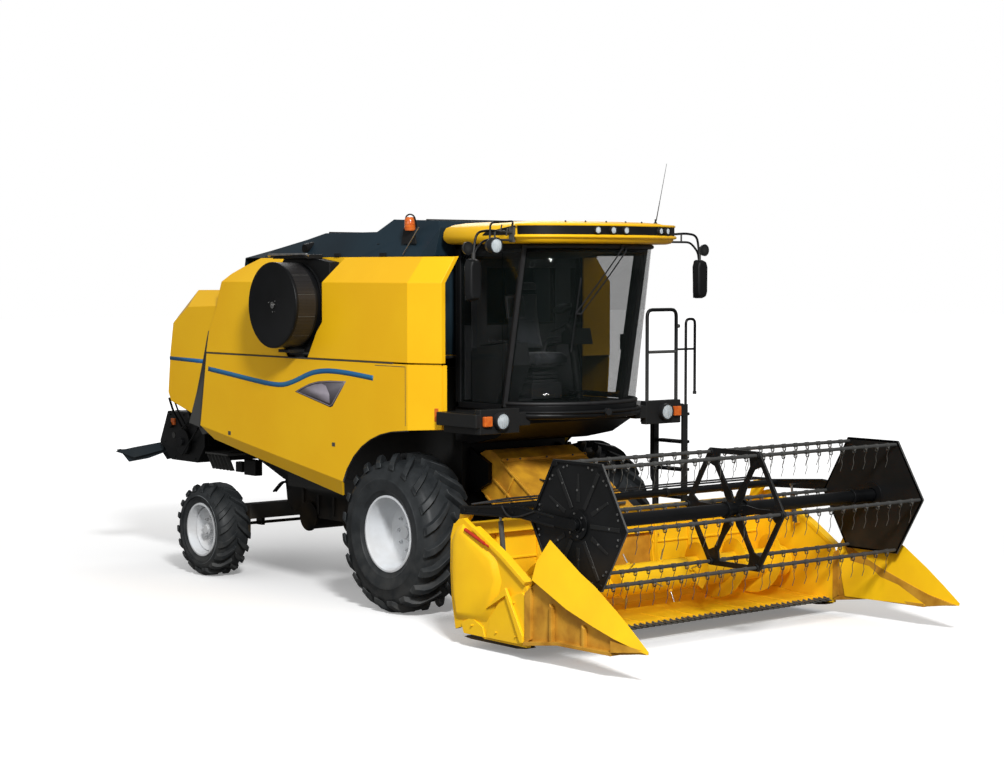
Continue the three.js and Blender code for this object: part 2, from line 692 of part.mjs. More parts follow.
function cabBase() {
  const top = cab.floorZ - contactGap;
  const underCab = plateAlongX([[-1180, 1900], [-1180, top], [bodyFrontY - contactGap, top],
    [bodyFrontY - contactGap, 1700], [-500, 1700]], -780, 780);
  const rightDeck = box(-1380, -700, -1330, rightPanelFrontY - 20, 1900, top);
  const leftDeck = box(700, 1380, -1330, leftPanelFrontY - 20, 1900, top);
  const lampBoxes = bothSides(box(840, 1330, -1332, -1240, 1850, 2110));
  const hoopCorners = [[880, top - 20], [880, 3030], [1290, 3030], [1290, top - 20]];
  const hoopPath = hoopCorners.map(([x, z]) => [x, -1300, z]);
  const hoop = bentBar(hoopPath, 17);
  const cross = bar([880, -1300, 2600], [1290, -1300, 2600], 14, 8);
  return join(underCab, rightDeck, leftDeck, lampBoxes, hoop, cross);
}

function ladder() {
  const x0 = 1380 + contactGap;
  const stringers = [-1315, -885].map((y) => box(x0, 1450, y, y + 30, 450, 2050));
  const steps = [480, 770, 1060, 1350, 1640, 1930].map((z) => box(x0 + 5, 1500, -1290, -880, z, z + 30));
  const railCorners = [[1430, 2040], [1430, 2930], [1560, 2930], [1560, 2170]];
  const rail = bentBar(railCorners.map(([x, z]) => [x, -1300, z]), 15);
  return join(stringers, steps, rail);
}

function mirror() {
  const arm = bentBar([[roof.halfWidth + 8, -1420, 3790], [1440, -1430, 3790], [1490, -1430, 3540]], 13);
  const lowArm = bentBar([[roof.halfWidth + 8, -1420, 3720], [1400, -1430, 3720], [1490, -1430, 3600]], 11);
  const head = lofted([
    [[1420, -1440, 3130], [1570, -1400, 3130], [1570, -1370, 3130], [1420, -1385, 3130]],
    [[1405, -1475, 3330], [1590, -1425, 3330], [1590, -1370, 3330], [1405, -1385, 3330]],
    [[1420, -1440, 3545], [1570, -1400, 3545], [1570, -1370, 3545], [1420, -1385, 3545]],
  ]);
  const foot = box(roof.halfWidth + contactGap, roof.halfWidth + 25, -1445, -1380, 3700, 3845);
  const small = bar([1560, -1400, 3640], [1560, -1440, 3640], 62);
  const smallStalk = bar([1490, -1425, 3600], [1560, -1425, 3640], 9, 8);
  return join(arm, lowArm, head, foot, small, smallStalk);
}

// ---------------------------------------------------------------- straw chopper
function strawChopper() {
  const frontY = bodyRearY + contactGap;
  const outline = [
    [frontY, 1400], [frontY, 1790], [4740, 1780], [4885, 1410], [4660, 1210], [4100, 1210],
  ];
  const casing = plateAlongX(outline, -1150, 1150);
  const lugOutline = [[4700, 1360], [4760, 1460], [4900, 1440], [4940, 1405], [4900, 1380]];
  const lug = plateAlongX(lugOutline, 1112, 1150);
  const hole = bore(-1200, 1200, tailboard.hingeY, tailboard.hingeZ, 15.5);
  return cut(join(casing, bothSides(lug)), hole);
}

function tailboardBody() {
  const { hingeY, hingeZ, rearY, rearZ, frontHalfWidth, rearHalfWidth } = tailboard;
  const plate = skin(
    [[[-frontHalfWidth, hingeY + 5, hingeZ], [frontHalfWidth, hingeY + 5, hingeZ]],
      [[-rearHalfWidth, rearY, rearZ], [rearHalfWidth, rearY, rearZ]]],
    [[[-frontHalfWidth, hingeY + 5, hingeZ - 14], [frontHalfWidth, hingeY + 5, hingeZ - 14]],
      [[-rearHalfWidth, rearY, rearZ - 14], [rearHalfWidth, rearY, rearZ - 14]]],
  );
  const hinge = axleBar(-1149, 1149, hingeY, hingeZ, 15);
  const fin = (share) => {
    const front = share * (frontHalfWidth - 60);
    const rear = share * (rearHalfWidth - 30);
    const middle = (front + rear) / 2;
    const finY = hingeY + 40;
    const side = (grow) => [
      [[front + grow, finY, hingeZ - 12], [middle + grow, 5230, 1322], [rear + grow, rearY - 60, rearZ + 6]],
      [[front + grow, finY, hingeZ - 120], [middle + grow, 5180, 1190], [rear + grow, 5400, 1140]],
    ];
    return skin(side(-5), side(5));
  };
  const fins = [-1, -0.6, -0.2, 0.2, 0.6, 1].map(fin);
  return join(plate, hinge, fins);
}

// ---------------------------------------------------------------- feeder house and lift
const along = { y: feeder.frontY - feeder.pivotY, z: feeder.frontCentreZ - feeder.pivotZ };
const alongLength = Math.hypot(along.y, along.z);
const feederUp = { y: along.z / alongLength, z: -along.y / alongLength };

function feederHouse() {
  const { pivotY, pivotZ, halfDepth, halfWidth } = feeder;
  const slope = along.z / along.y;
  const edge = (sign) => {
    const y = pivotY + sign * feederUp.y * halfDepth;
    const z = pivotZ + sign * feederUp.z * halfDepth;
    const endY = header.backY + contactGap;
    return [[y, z], [endY, z + slope * (endY - y)]];
  };
  const [topRear, topFront] = edge(1);
  const [bottomRear, bottomFront] = edge(-1);
  const upAngle = Math.atan2(feederUp.z, feederUp.y);
  const arc = Array.from({ length: 7 }, (_, i) => {
    const angle = upAngle - Math.PI + (Math.PI * (i + 1)) / 8;
    return [pivotY + halfDepth * Math.cos(angle), pivotZ + halfDepth * Math.sin(angle)];
  });
  const body = plateAlongX([bottomFront, bottomRear, ...arc, topRear, topFront], -halfWidth, halfWidth);
  const pinHoles = bothSides(bore(527, 620, pivotY, pivotZ, 34.1));
  const lugOutline = [[-1300, 700], [-1500, 600], [-1470, 450], [-1435, 412], [-1365, 412], [-1330, 450]];
  const lug = plateAlongX(lugOutline, liftAnchor.x - 70, liftAnchor.x - 40);
  const eyeHole = bore(-560, 560, liftEye.y, liftEye.z, liftRam.pinRadius + liftRam.eyeDrift);
  return cut(join(body, bothSides(lug)), pinHoles, eyeHole);
}

function pointBetween(from, to, distance) {
  const length = Math.hypot(to.y - from.y, to.z - from.z);
  return [from.y + ((to.y - from.y) * distance) / length, from.z + ((to.z - from.z) * distance) / length];
}

function liftBarrels() {
  const mouth = pointBetween(liftAnchor, liftEye, 790);
  const start = pointBetween(liftAnchor, liftEye, 60);
  const shaft = axleBar(-515, 515, liftAnchor.y, liftAnchor.z, 30);
  const gland = pointBetween(liftAnchor, liftEye, 750);
  const beyond = pointBetween(liftAnchor, liftEye, 820);
  const at = (point) => [liftAnchor.x, ...point];
  const barrel = bar([liftAnchor.x, liftAnchor.y, liftAnchor.z], at(mouth), liftRam.barrelRadius);
  const hollow = bar(at(start), at(gland), liftRam.bore);
  const glandHole = bar(at(start), at(beyond), liftRam.rodRadius + contactGap);
  return join(shaft, bothSides(cut(barrel, hollow, glandHole)));
}

function liftRods() {
  const start = pointBetween(liftAnchor, liftEye, 150);
  const cross = axleBar(-455, 455, liftEye.y, liftEye.z, liftRam.pinRadius);
  const rod = bar([liftAnchor.x, ...start], [liftAnchor.x, liftEye.y, liftEye.z], liftRam.rodRadius);
  const eye = axleBar(liftAnchor.x - 28, liftAnchor.x + 28, liftEye.y, liftEye.z, 38);
  return join(cross, bothSides(join(rod, eye)));
}

// ---------------------------------------------------------------- header
function headerTable() {
  const { innerHalfWidth, backY } = header;
  const end = innerHalfWidth + 5;
  const sheet = plateAlongX([
    [-2790, 132], [-2300, 132], [-1950, 172], [-1800, 320], [backY, 600], [backY, 1110], [-1870, 1110],
    [-1870, 1000], [-1790, 985], [-1790, 610], [-1838, 345], [-1970, 205], [-2300, 162], [-2790, 158],
  ], -end, end);
  const mouth = box(-500, 500, -1900, -1700, 360, 840);
  const lugOutline = [[-1870, 1100], [-1760, 1100], [-1820, 1270], [-1930, 1275], [-1950, 1200]];
  const lugX = reelArm.innerX - 8;
  const lug = plateAlongX(lugOutline, lugX - 42, lugX);
  const pin = axleBar(lugX - 2, reelArm.outerX + 4, reelArm.pivotY, reelArm.pivotZ, 20);
  const stub = axleBar(augerEndX - 12, end, headerAuger.y, headerAuger.z, 30);
  return join(cut(sheet, mouth), bothSides(join(lug, pin, stub, headerEnd())));
}

function headerEnd() {
  const x0 = header.innerHalfWidth;
  const x1 = x0 + header.endThickness;
  const shield = plateAlongX([
    [-1830, 150], [-1760, 700], [-1760, 1010], [-1950, 1180], [-2130, 1080], [-2510, 880], [-2850, 680],
    [-2850, 112], [-2250, 112], [-1980, 200],
  ], x0, x1);
  const pin = axleBar(reelCylinder.x - 28, x0 + 5, reelCylinder.footY, reelCylinder.footZ, 12);
  return join(shield, pin);
}

function dividerBody() {
  const x = divider.ridgeX;
  const ring = (y, ridgeZ, inner, outer, sideZ, footZ) => [
    [x, y, ridgeZ], [x + outer, y, sideZ], [x + outer * 0.6, y, footZ],
    [x - inner * 0.6, y, footZ], [x - inner, y, sideZ],
  ];
  return lofted([
    ring(-2850 - contactGap, 660, 38, 60, 480, 190),
    ring(-3060, 900, 52, 85, 560, 200),
    ring(-3150, 1100, 60, 90, 620, 225),
    ring(-3550, 850, 52, 80, 480, 222),
    ring(-4000, 580, 34, 48, 360, 212),
    ring(divider.tipY, divider.tipZ + 8, 6, 6, divider.tipZ, divider.tipZ - 8),
  ]);
}

// The cutter bar's envelope: the fingers themselves are finer than this model.
function knifeBar() {
  const half = header.innerHalfWidth - 10;
  const back = -2790 - contactGap;
  return box(-half, half, header.knifeY - 95, back, header.knifeZ - 14, header.knifeZ + 8);
}

function headerAugerBody() {
  const { y, z, tubeRadius, flightRadius, pitch } = headerAuger;
  const stubHole = bore(augerEndX - 16, augerEndX + 64, y, z, 30.1);
  const tube = cut(axleBar(-augerEndX, augerEndX, y, z, tubeRadius, 24), bothSides(stubHole));
  const flight = (from, to, hand) => {
    const turns = (to - from) / pitch;
    const steps = Math.round(turns * 8);
    const grid = (shift) => Array.from({ length: steps + 1 }, (_, i) => {
      const x = from + ((to - from) * i) / steps;
      const angle = (hand * 2 * Math.PI * (x - from)) / pitch;
      const at = (r) => [x + shift, y + r * Math.cos(angle), z + r * Math.sin(angle)];
      return [tubeRadius - 15, flightRadius].map(at);
    });
    return skin(grid(0), grid(10));
  };
  const fingers = Array.from({ length: 10 }, (_, i) => {
    const x = -450 + i * 100;
    const angle = i * 2.4;
    const tip = flightRadius - 10;
    return bar([x, y, z], [x, y + tip * Math.cos(angle), z + tip * Math.sin(angle)], 9, 6);
  });
  const outerEnd = augerEndX - 36;
  return join(tube, flight(-outerEnd, -520, 1), flight(510, outerEnd - 10, -1), fingers);
}

// ---------------------------------------------------------------- reel
const cornerAngle = (i) => (Math.PI / 3) * i;
const corner = (i, radius = reel.cornerRadius) => [
  reel.y + radius * Math.cos(cornerAngle(i)),
  reel.z + radius * Math.sin(cornerAngle(i)),
];
const hexagon = (radius) => [0, 1, 2, 3, 4, 5].map((i) => corner(i, radius));

function reelBody() {
  const { y, z, tubeRadius, discX, discThickness } = reel;
  const plateRadius = reel.cornerRadius + 45;
  const tube = axleBar(-discX, discX, y, z, tubeRadius);
  const stub = axleBar(-reelArm.outerX, reelArm.outerX, y, z, 30);
  const disc = plateAlongX(hexagon(plateRadius), discX - discThickness / 2, discX + discThickness / 2);
  const barHoles = [0, 1, 2, 3, 4, 5].map((i) => bore(-30, 30, ...corner(i), tine.barRadius + 0.5));
  const windows = [0, 1, 2, 3, 4, 5].map((i) => {
    const near = 190;
    const far = reel.cornerRadius - 75;
    const aim = (index, radius, turn) => {
      const angle = cornerAngle(index) + turn;
      return [y + radius * Math.cos(angle), z + radius * Math.sin(angle)];
    };
    const corners = [aim(i, near, 0.2), aim(i, far, 0.09), aim(i + 1, far, -0.09), aim(i + 1, near, -0.2)];
    return plateAlongX(corners, -40, 40);
  });
  const spider = cut(plateAlongX(hexagon(plateRadius), -10, 10), windows, barHoles);
  return join(tube, stub, bothSides(disc), spider);
}

function tineBar(i) {
  const [y, z] = corner(i);
  const end = reel.discX - reel.discThickness / 2 - 0.5;
  const tube = axleBar(-end, end, y, z, tine.barRadius, 8);
  const perSide = Math.floor(end / tine.spacing);
  const tines = [];
  for (let k = 0; k < perSide; k += 1) {
    const x = tine.spacing * (k + 0.5);
    [-x, x].forEach((place) => {
      tines.push(bar([place, y, z], [place, y + 18, z - tine.length], tine.radius, 3));
    });
  }
  return join(tube, tines);
}

function reelArms() {
  const { pivotY, pivotZ, innerX, outerX } = reelArm;
  const outline = [
    [pivotY + 50, 1205], [pivotY + 50, 1280], [-2700, 1345], [reel.y - 240, 1300],
    [reel.y - 250, 1200], [reel.y, 1190], [-2720, 1240],
  ];
  const pivotHole = circle(pivotY, pivotZ, 21);
  const shaftHole = circle(reel.y, reel.z, 31);
  const eyeHole = circle(reelCylinder.eyeY, reelCylinder.eyeZ, reelRam.pinRadius + reelRam.eyeDrift);
  const arm = plateAlongX(outline, innerX, outerX, [pivotHole, shaftHole, eyeHole]);
  const cross = axleBar(-innerX - 5, innerX + 5, -2080, 1262, 38);
  return join(bothSides(arm), cross);
}

function reelBarrel() {
  const { x, footY, footZ, eyeY, eyeZ } = reelCylinder;
  const foot = { y: footY, z: footZ };
  const eye = { y: eyeY, z: eyeZ };
  const at = (distance) => [x, ...pointBetween(foot, eye, distance)];
  const barrel = bar([x, footY, footZ], at(305), reelRam.barrelRadius);
  const hollow = bar(at(35), at(285), reelRam.bore);
  const glandHole = bar(at(35), at(320), reelRam.rodRadius + contactGap);
  const pinHole = bore(x - 40, x + 40, footY, footZ, reelRam.pinRadius + 0.5);
  return cut(barrel, hollow, glandHole, pinHole);
}

function reelRod() {
  const { x, footY, footZ, eyeY, eyeZ } = reelCylinder;
  const start = pointBetween({ y: footY, z: footZ }, { y: eyeY, z: eyeZ }, 80);
  const rod = bar([x, ...start], [x, eyeY, eyeZ], reelRam.rodRadius);
  const pin = axleBar(x - 20, reelArm.outerX - 4, eyeY, eyeZ, reelRam.pinRadius);
  return join(rod, pin);
}

// ---------------------------------------------------------------- assembly
function addPair(name, leftPiece, material) {
  add(`${name}_left`, leftPiece, material);
  add(`${name}_right`, mirrored(leftPiece), material);
}

add('threshing_body', threshingBody(), blackPaint);
add('engine_block', box(-480, 480, 2300, 3040, deckTopZ + contactGap, 3150), castGrey);
add('front_axle', frontAxle(), castGrey);
addPair('front_tyre', tyreBody(frontTyre), tyreRubber);
addPair('front_rim', rimBody(frontTyre, frontRim), whitePaint);
add('rear_axle_beam', rearAxleBeam(), blackPaint);
addPair('rear_knuckle', knuckle(), castGrey);
addPair('rear_tyre', tyreBody(rearTyre), tyreRubber);
addPair('rear_rim', rimBody(rearTyre, rearRim), whitePaint);
add('upper_side_panel_right', rightUpperPanel(), yellowPaint);
add('upper_side_panel_left', leftUpperPanel(), yellowPaint);
add('lower_side_panel_right', mirrored(lowerPanel(rightPanelFrontY)), yellowPaint);
add('lower_side_panel_left', lowerPanel(leftPanelFrontY), yellowPaint);
add('rear_hood', rearHood(), yellowPaint);
add('grain_tank', grainTank(), yellowPaint);
add('tank_cover', tankCover(), slatePaint);
add('dust_screen_drum', dustScreenDrum(), blackPaint);
add('dust_screen_housing', dustScreenHousing(), blackPaint);
add('unloader_tube', unloaderTube(), yellowPaint);
add('cab_base', cabBase(), blackPaint);
add('cab_shell', cabShell(), blackPaint);
add('cab_roof', cabRoof(), yellowPaint);
add('windscreen', windscreen(), cabGlass);
add('side_window_right', sideGlass(), cabGlass);
add('cab_door', cabDoor(), blackPaint);
add('cab_door_glass', doorGlass(), cabGlass);
add('seat_plinth', seatPlinth(), greyPlastic);
add('seat', operatorSeat(), seatCloth);
add('steering_column', steeringColumn(), greyPlastic);
add('ladder', ladder(), blackPaint);
addPair('mirror', mirror(), blackPaint);
add('straw_chopper', strawChopper(), blackPaint);
add('tailboard', tailboardBody(), slatePaint);
add('feeder_house', feederHouse(), yellowPaint);
add('lift_cylinder_barrels', liftBarrels(), blackPaint);
add('lift_cylinder_rods', liftRods(), brightSteel);
add('header_table', headerTable(), yellowPaint);
addPair('divider', dividerBody(), yellowPaint);
add('knife_bar', knifeBar(), castGrey);
add('header_auger', headerAugerBody(), yellowPaint);
add('reel_arms', reelArms(), blackPaint);
add('reel', reelBody(), blackPaint);
[0, 1, 2, 3, 4, 5].forEach((i) => add(`tine_bar_${i + 1}`, tineBar(i), blackPaint));
addPair('reel_cylinder_barrel', reelBarrel(), blackPaint);
addPair('reel_cylinder_rod', reelRod(), brightSteel);

export default root;
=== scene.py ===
# Looks for a combine harvester: metal, paint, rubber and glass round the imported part.
# Pieces are laid out in metres from the ground under the front axle: x left, y rear, z up.
from math import acos, atan2, cos, hypot, pi, radians, sin, sqrt

import bmesh
import bpy
from bmesh.types import BMEdge, BMFace, BMVert
from mathutils import Matrix, Vector


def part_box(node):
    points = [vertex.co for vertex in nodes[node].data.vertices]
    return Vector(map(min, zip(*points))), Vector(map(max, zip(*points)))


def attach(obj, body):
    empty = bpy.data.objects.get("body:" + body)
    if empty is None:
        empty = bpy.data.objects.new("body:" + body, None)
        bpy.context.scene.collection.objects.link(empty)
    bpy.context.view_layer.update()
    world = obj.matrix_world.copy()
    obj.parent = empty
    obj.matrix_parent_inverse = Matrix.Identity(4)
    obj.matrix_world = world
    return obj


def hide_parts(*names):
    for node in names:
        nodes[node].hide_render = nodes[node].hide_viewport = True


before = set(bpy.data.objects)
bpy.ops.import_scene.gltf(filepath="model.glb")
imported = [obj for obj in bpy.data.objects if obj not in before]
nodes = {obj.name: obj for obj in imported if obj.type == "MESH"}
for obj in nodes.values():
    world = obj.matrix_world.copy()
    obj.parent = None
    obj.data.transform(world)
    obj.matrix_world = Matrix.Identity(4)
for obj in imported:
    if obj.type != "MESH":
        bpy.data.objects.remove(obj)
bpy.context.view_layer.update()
scene = bpy.context.scene


def midOf(node):
    low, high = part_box(node)
    return [(a + b) / 2 for a, b in zip(low, high)]


axleY = midOf("front_rim_left")[1]  # the front axle's place in the row frame
wheelFront = midOf("front_tyre_left")
wheelRear = midOf("rear_tyre_left")
print("frame loaded, front axle at", round(axleY, 3))

# camera, light and floor
view = {"place": (-13.893, -17.471, 3.422), "pitch": 86.94, "yaw": -39.514, "lens": 75.53}
camera = bpy.data.objects.new("camera", bpy.data.cameras.new("camera"))
scene.collection.objects.link(camera)
camera.location = view["place"]
camera.rotation_euler = (radians(view["pitch"]), 0, radians(view["yaw"]))
camera.data.lens = view["lens"]
camera.data.sensor_width = 36
camera.data.clip_end = 400
scene.camera = camera
scene.view_settings.view_transform = "Standard"


def hexLinear(text):
    channels = [int(text[i:i + 2], 16) / 255 for i in (1, 3, 5)]
    return [c / 12.92 if c <= 0.04045 else ((c + 0.055) / 1.055) ** 2.4 for c in channels] + [1.0]


def addNode(tree, kind, settings=None, **links):
    made = tree.nodes.new("ShaderNode" + kind)
    for key, value in (settings or {}).items():
        if isinstance(key, int) or key in made.inputs:
            made.inputs[key].default_value = value
        else:
            setattr(made, key, value)
    for key, source in links.items():
        socket = int(key[1:]) if key[0] == "i" and key[1:].isdigit() else key.replace("_", " ")
        tree.links.new(source, made.inputs[socket])
    return made


def areaLight(name, place, size, power, target=(0, 0, 1.2)):
    data = bpy.data.lights.new(name, "AREA")
    data.shape = "DISK"
    data.size = size
    data.energy = power
    lamp = bpy.data.objects.new(name, data)
    scene.collection.objects.link(lamp)
    lamp.location = place
    lamp.rotation_euler = (Vector(target) - Vector(place)).to_track_quat("-Z", "Y").to_euler()


lights = {"key": 4300, "fill": 300, "back": 500, "sky": 0.5, "glint": 0.25, "backdrop": 1.0, "floorNear": 0.2,
    "floorFar": 0.75, "floorBounce": 0.2, "floorPaint": 0.9}
areaLight("keyLight", (-9.5, -16.2, 13), 3, lights["key"])
areaLight("fillLight", (-16, -3, 8), 8, lights["fill"])
areaLight("backLight", (9, 12, 11), 8, lights["back"])

world = bpy.data.worlds.new("studio")
scene.world = world
world.use_nodes = True
tree = world.node_tree
tree.nodes.clear()
rays = addNode(tree, "LightPath")
seen = addNode(tree, "Math", {"operation": "MAXIMUM"}, i0=rays.outputs["Is Camera Ray"],
    i1=rays.outputs["Is Transmission Ray"])
strength = addNode(tree, "MapRange", {"To Min": lights["sky"], "To Max": lights["backdrop"]},
    i0=seen.outputs[0])
dimmer = addNode(tree, "Math", {"operation": "MULTIPLY_ADD", 1: lights["glint"] - lights["sky"]},
    i0=rays.outputs["Is Glossy Ray"], i2=strength.outputs[0])
sky = addNode(tree, "Background", {"Color": (1, 1, 1, 1)}, Strength=dimmer.outputs[0])
addNode(tree, "OutputWorld", Surface=sky.outputs[0])

floorMesh = bmesh.new()
bmesh.ops.create_grid(floorMesh, x_segments=1, y_segments=1, size=120)
floorData = bpy.data.meshes.new("floor")
floorMesh.to_mesh(floorData)
floor = bpy.data.objects.new("floor", floorData)
scene.collection.objects.link(floor)
floorPaint = bpy.data.materials.new("studioFloor")
floorPaint.use_nodes = True
tree = floorPaint.node_tree
tree.nodes.clear()
rays = addNode(tree, "LightPath")
bounce = addNode(tree, "MapRange", {"To Min": lights["floorBounce"], "To Max": lights["floorPaint"]},
    i0=rays.outputs["Is Camera Ray"])
matt = addNode(tree, "BsdfDiffuse", Color=bounce.outputs[0])
away = addNode(tree, "VectorMath", {"operation": "LENGTH"}, i0=addNode(tree, "TexCoord").outputs["Object"])
level = addNode(tree, "MapRange", {"From Min": 7.0, "From Max": 24.0, "To Min": lights["floorNear"],
    "To Max": lights["floorFar"]}, i0=away.outputs["Value"])
lift = addNode(tree, "Math", {"operation": "MULTIPLY"}, i0=rays.outputs["Is Camera Ray"], i1=level.outputs[0])
glow = addNode(tree, "Emission", Strength=lift.outputs[0])
both = addNode(tree, "AddShader", i0=matt.outputs[0], i1=glow.outputs[0])
addNode(tree, "OutputMaterial", Surface=both.outputs[0])
floorData.materials.append(floorPaint)


# finishes: each one from its real material, with patterns in millimetres
sockets = {"metallic": "Metallic", "alpha": "Alpha", "ior": "IOR", "coat": "Coat Weight",
    "coatRough": "Coat Roughness", "sheen": "Sheen Weight", "specular": "Specular IOR Level"}


def finish(name, kind, **look):
    look = {**kind, **look}
    made = bpy.data.materials.new(name)
    made.use_nodes = True
    tree = made.node_tree
    shader = tree.nodes["Principled BSDF"]
    for word, socket in sockets.items():
        if word in look:
            shader.inputs[socket].default_value = look[word]
    place = addNode(tree, "TexCoord").outputs["Object"]
    patches = addNode(tree, "TexNoise", {"Scale": 1000 / look["patch"], "Detail": 4.0}, Vector=place)
    spread = addNode(tree, "MapRange", {"From Min": 0.35, "From Max": 0.65}, i0=patches.outputs[0])
    colour = addNode(tree, "Mix", {"data_type": "RGBA", 6: hexLinear(look["base"]),
        7: hexLinear(look["second"])}, i0=spread.outputs[0])
    colour = colour.outputs[2]
    # sharp edges turn paler: partly real edge wear, partly a painted highlight along the edges
    if "worn" in look:
        edge = addNode(tree, "NewGeometry").outputs["Pointiness"]
        edgeWearAndHighlightShare = addNode(tree, "MapRange", {"From Min": 0.56, "From Max": 0.64, "To Max": look["wear"]},
            i0=edge)
        worn = addNode(tree, "Mix", {"data_type": "RGBA", 7: hexLinear(look["worn"])}, i0=edgeWearAndHighlightShare.outputs[0])
        tree.links.new(colour, worn.inputs[6])
        colour = worn.outputs[2]
    if "dust" in look:
        height = addNode(tree, "SeparateXYZ", Vector=place).outputs["Z"]
        low = addNode(tree, "MapRange", {"From Min": look["dustTop"], "From Max": 0.05,
            "To Max": look["dustMost"]}, i0=height)
        settled = addNode(tree, "Math", {"operation": "MULTIPLY"}, i0=low.outputs[0], i1=spread.outputs[0])
        dusty = addNode(tree, "Mix", {"data_type": "RGBA", 7: hexLinear(look["dust"])}, i0=settled.outputs[0])
        tree.links.new(colour, dusty.inputs[6])
        colour = dusty.outputs[2]
    tree.links.new(colour, shader.inputs["Base Color"])
    grain = addNode(tree, "TexNoise", {"Scale": 1000 / look["grain"], "Detail": 3.0}, Vector=place)
    gloss = addNode(tree, "MapRange", {"To Min": look["rough"][0], "To Max": look["rough"][1]},
        i0=patches.outputs[0])
    tree.links.new(gloss.outputs[0], shader.inputs["Roughness"])
    bump = addNode(tree, "Bump", {"Strength": look.get("bump", 0.2), "Distance": look["relief"] / 1000},
        Height=grain.outputs[0])
    tree.links.new(bump.outputs[0], shader.inputs["Normal"])
    return made


# enamel baked on pressed steel sheet: an even gloss with faint orange peel, dust low down, and paler edges that
# are partly wear and partly a painted highlight
enamel = dict(patch=900, grain=9, relief=0.35, rough=(0.3, 0.42), ior=1.5, coat=0.03, specular=0.2,
    coatRough=0.12, worn="#FFD65A", wear=0.35, dust="#B08A4A", dustTop=1.1, dustMost=0.22, slot="yellow_paint")
yellowEnamel = finish("yellowEnamelOnSteel", enamel, base="#F4BE18", second="#F0B714")
headerEnamel = finish("headerEnamelOnSteel", enamel, base="#F9C61A", second="#F4BC16", dustMost=0.1, patch=500)
# the same enamel where the crop runs over it: browned by plant juice and dust in patches a hand wide, and
# darker as painted shade for the feeder under the cab and the pocket under each divider
stainedAndShadedEnamel = finish("cropStainedAndShadedEnamelOnSteel", enamel, base="#A87422", second="#D09828", patch=180,
    rough=(0.42, 0.6), dustMost=0.3)
# satin enamel on frames and castings: deep black, with paler edges that are partly worn paint and partly a
# painted highlight
blackEnamel = finish("blackEnamelOnSteel", enamel, base="#08090A", second="#0E0F11", rough=(0.34, 0.5),
    worn="#5E5E5C", wear=0.6, dustMost=0.12, patch=300, specular=0.22, coat=0.0, slot="black_paint")
slateEnamel = finish("slateEnamelOnSteel", enamel, base="#14222B", second="#192A34", rough=(0.4, 0.52),
    worn="#4E5C64", wear=0.4, dustTop=2.0, dustMost=0.1, specular=0.25, coat=0.0, slot="slate_paint")
wheelEnamel = finish("silverWhiteWheelEnamel", enamel, base="#D4D7DA", second="#CACDD0", rough=(0.34, 0.5),
    worn="#F2F3F4", wear=0.4, dustMost=0.15, patch=200, slot="white_paint")
# moulded natural rubber with carbon black: dull grey-black, paler in its dust; the paler lug edges are partly
# scrubbed rubber and partly a painted highlight
tyreRubber = finish("mouldedTyreRubber", {}, base="#222527", second="#2E3133", patch=140, grain=7, relief=1.2,
    rough=(0.42, 0.6), ior=1.52, worn="#6F7375", wear=0.85, dust="#5C564D", dustTop=0.9, dustMost=0.2, bump=0.5,
    specular=0.3, slot="tyre")
# grey iron castings and drop forgings: rough skin under thin paint, oily dark
castIron = finish("castIronUnderPaint", {}, base="#18191A", second="#242320", patch=120, grain=4, relief=1.0,
    rough=(0.5, 0.75), metallic=0.15, specular=0.25, worn="#77736A", wear=0.5, bump=0.5, slot="cast_iron")
# cold drawn and ground steel: rods, tines and knives polished by the crop
brightSteel = finish("cropPolishedSteel", {}, base="#B9BABB", second="#8F8D88", patch=60, grain=2, relief=0.1,
    rough=(0.22, 0.45), metallic=1.0, worn="#E2E2E0", wear=0.4, slot="steel")
darkSteel = finish("oilBlackenedSpringSteel", {}, base="#4A4A49", second="#36322D", patch=70, grain=3,
    relief=0.2, rough=(0.35, 0.6), metallic=0.9, worn="#9A9A96", wear=0.6, slot="steel")
# tinted laminated safety glass: thin green-grey cast, sharp reflections
cabGlass = finish("tintedSafetyGlass", {}, base="#0E1413", second="#101715", patch=1500, grain=400, relief=0.05,
    rough=(0.03, 0.05), ior=1.52, alpha=0.3, bump=0.0, specular=0.25, slot="cab_glass")
clearGlass = finish("clearLampGlass", {}, base="#A9B1B5", second="#BCC3C6", patch=60, grain=12, relief=0.6,
    rough=(0.08, 0.16), ior=1.5, coat=0.6, bump=0.4, slot="steel")
mirrorGlass = finish("silveredMirrorGlass", {}, base="#D8DEE0", second="#DDE2E4", patch=300, grain=200,
    relief=0.02, rough=(0.04, 0.08), metallic=1.0, bump=0.02, slot="steel")
# moulded acrylic indicator lens: saturated orange with a ribbed inner face
orangeLens = finish("orangeAcrylicLens", {}, base="#C2561A", second="#D06A24", patch=40, grain=6, relief=0.8,
    rough=(0.12, 0.22), ior=1.49, coat=0.5, bump=0.4, slot="yellow_paint")
redCasting = finish("redEnamelCasting", {}, base="#C2331C", second="#A82B18", patch=80, grain=5, relief=0.5,
    rough=(0.35, 0.5), metallic=0.2, slot="yellow_paint")
# moulded ABS and polypropylene of the cab and lamps: dull skin with a leather grain
blackPlastic = finish("blackMouldedPlastic", {}, base="#0C0D0E", second="#121314", patch=250, grain=2.5,
    relief=0.3, rough=(0.45, 0.6), ior=1.46, worn="#3A3B3D", wear=0.4, bump=0.4, specular=0.25,
    slot="black_plastic")
greyPlastic = finish("greyMouldedPlastic", {}, base="#3A3A3C", second="#323234", patch=250, grain=2.5,
    relief=0.3, rough=(0.5, 0.65), ior=1.46, worn="#66676A", wear=0.3, bump=0.4, slot="grey_plastic")
hoseRubber = finish("hydraulicHoseRubber", {}, base="#101011", second="#18181A", patch=60, grain=3, relief=0.4,
    rough=(0.5, 0.7), bump=0.4, slot="black_plastic")
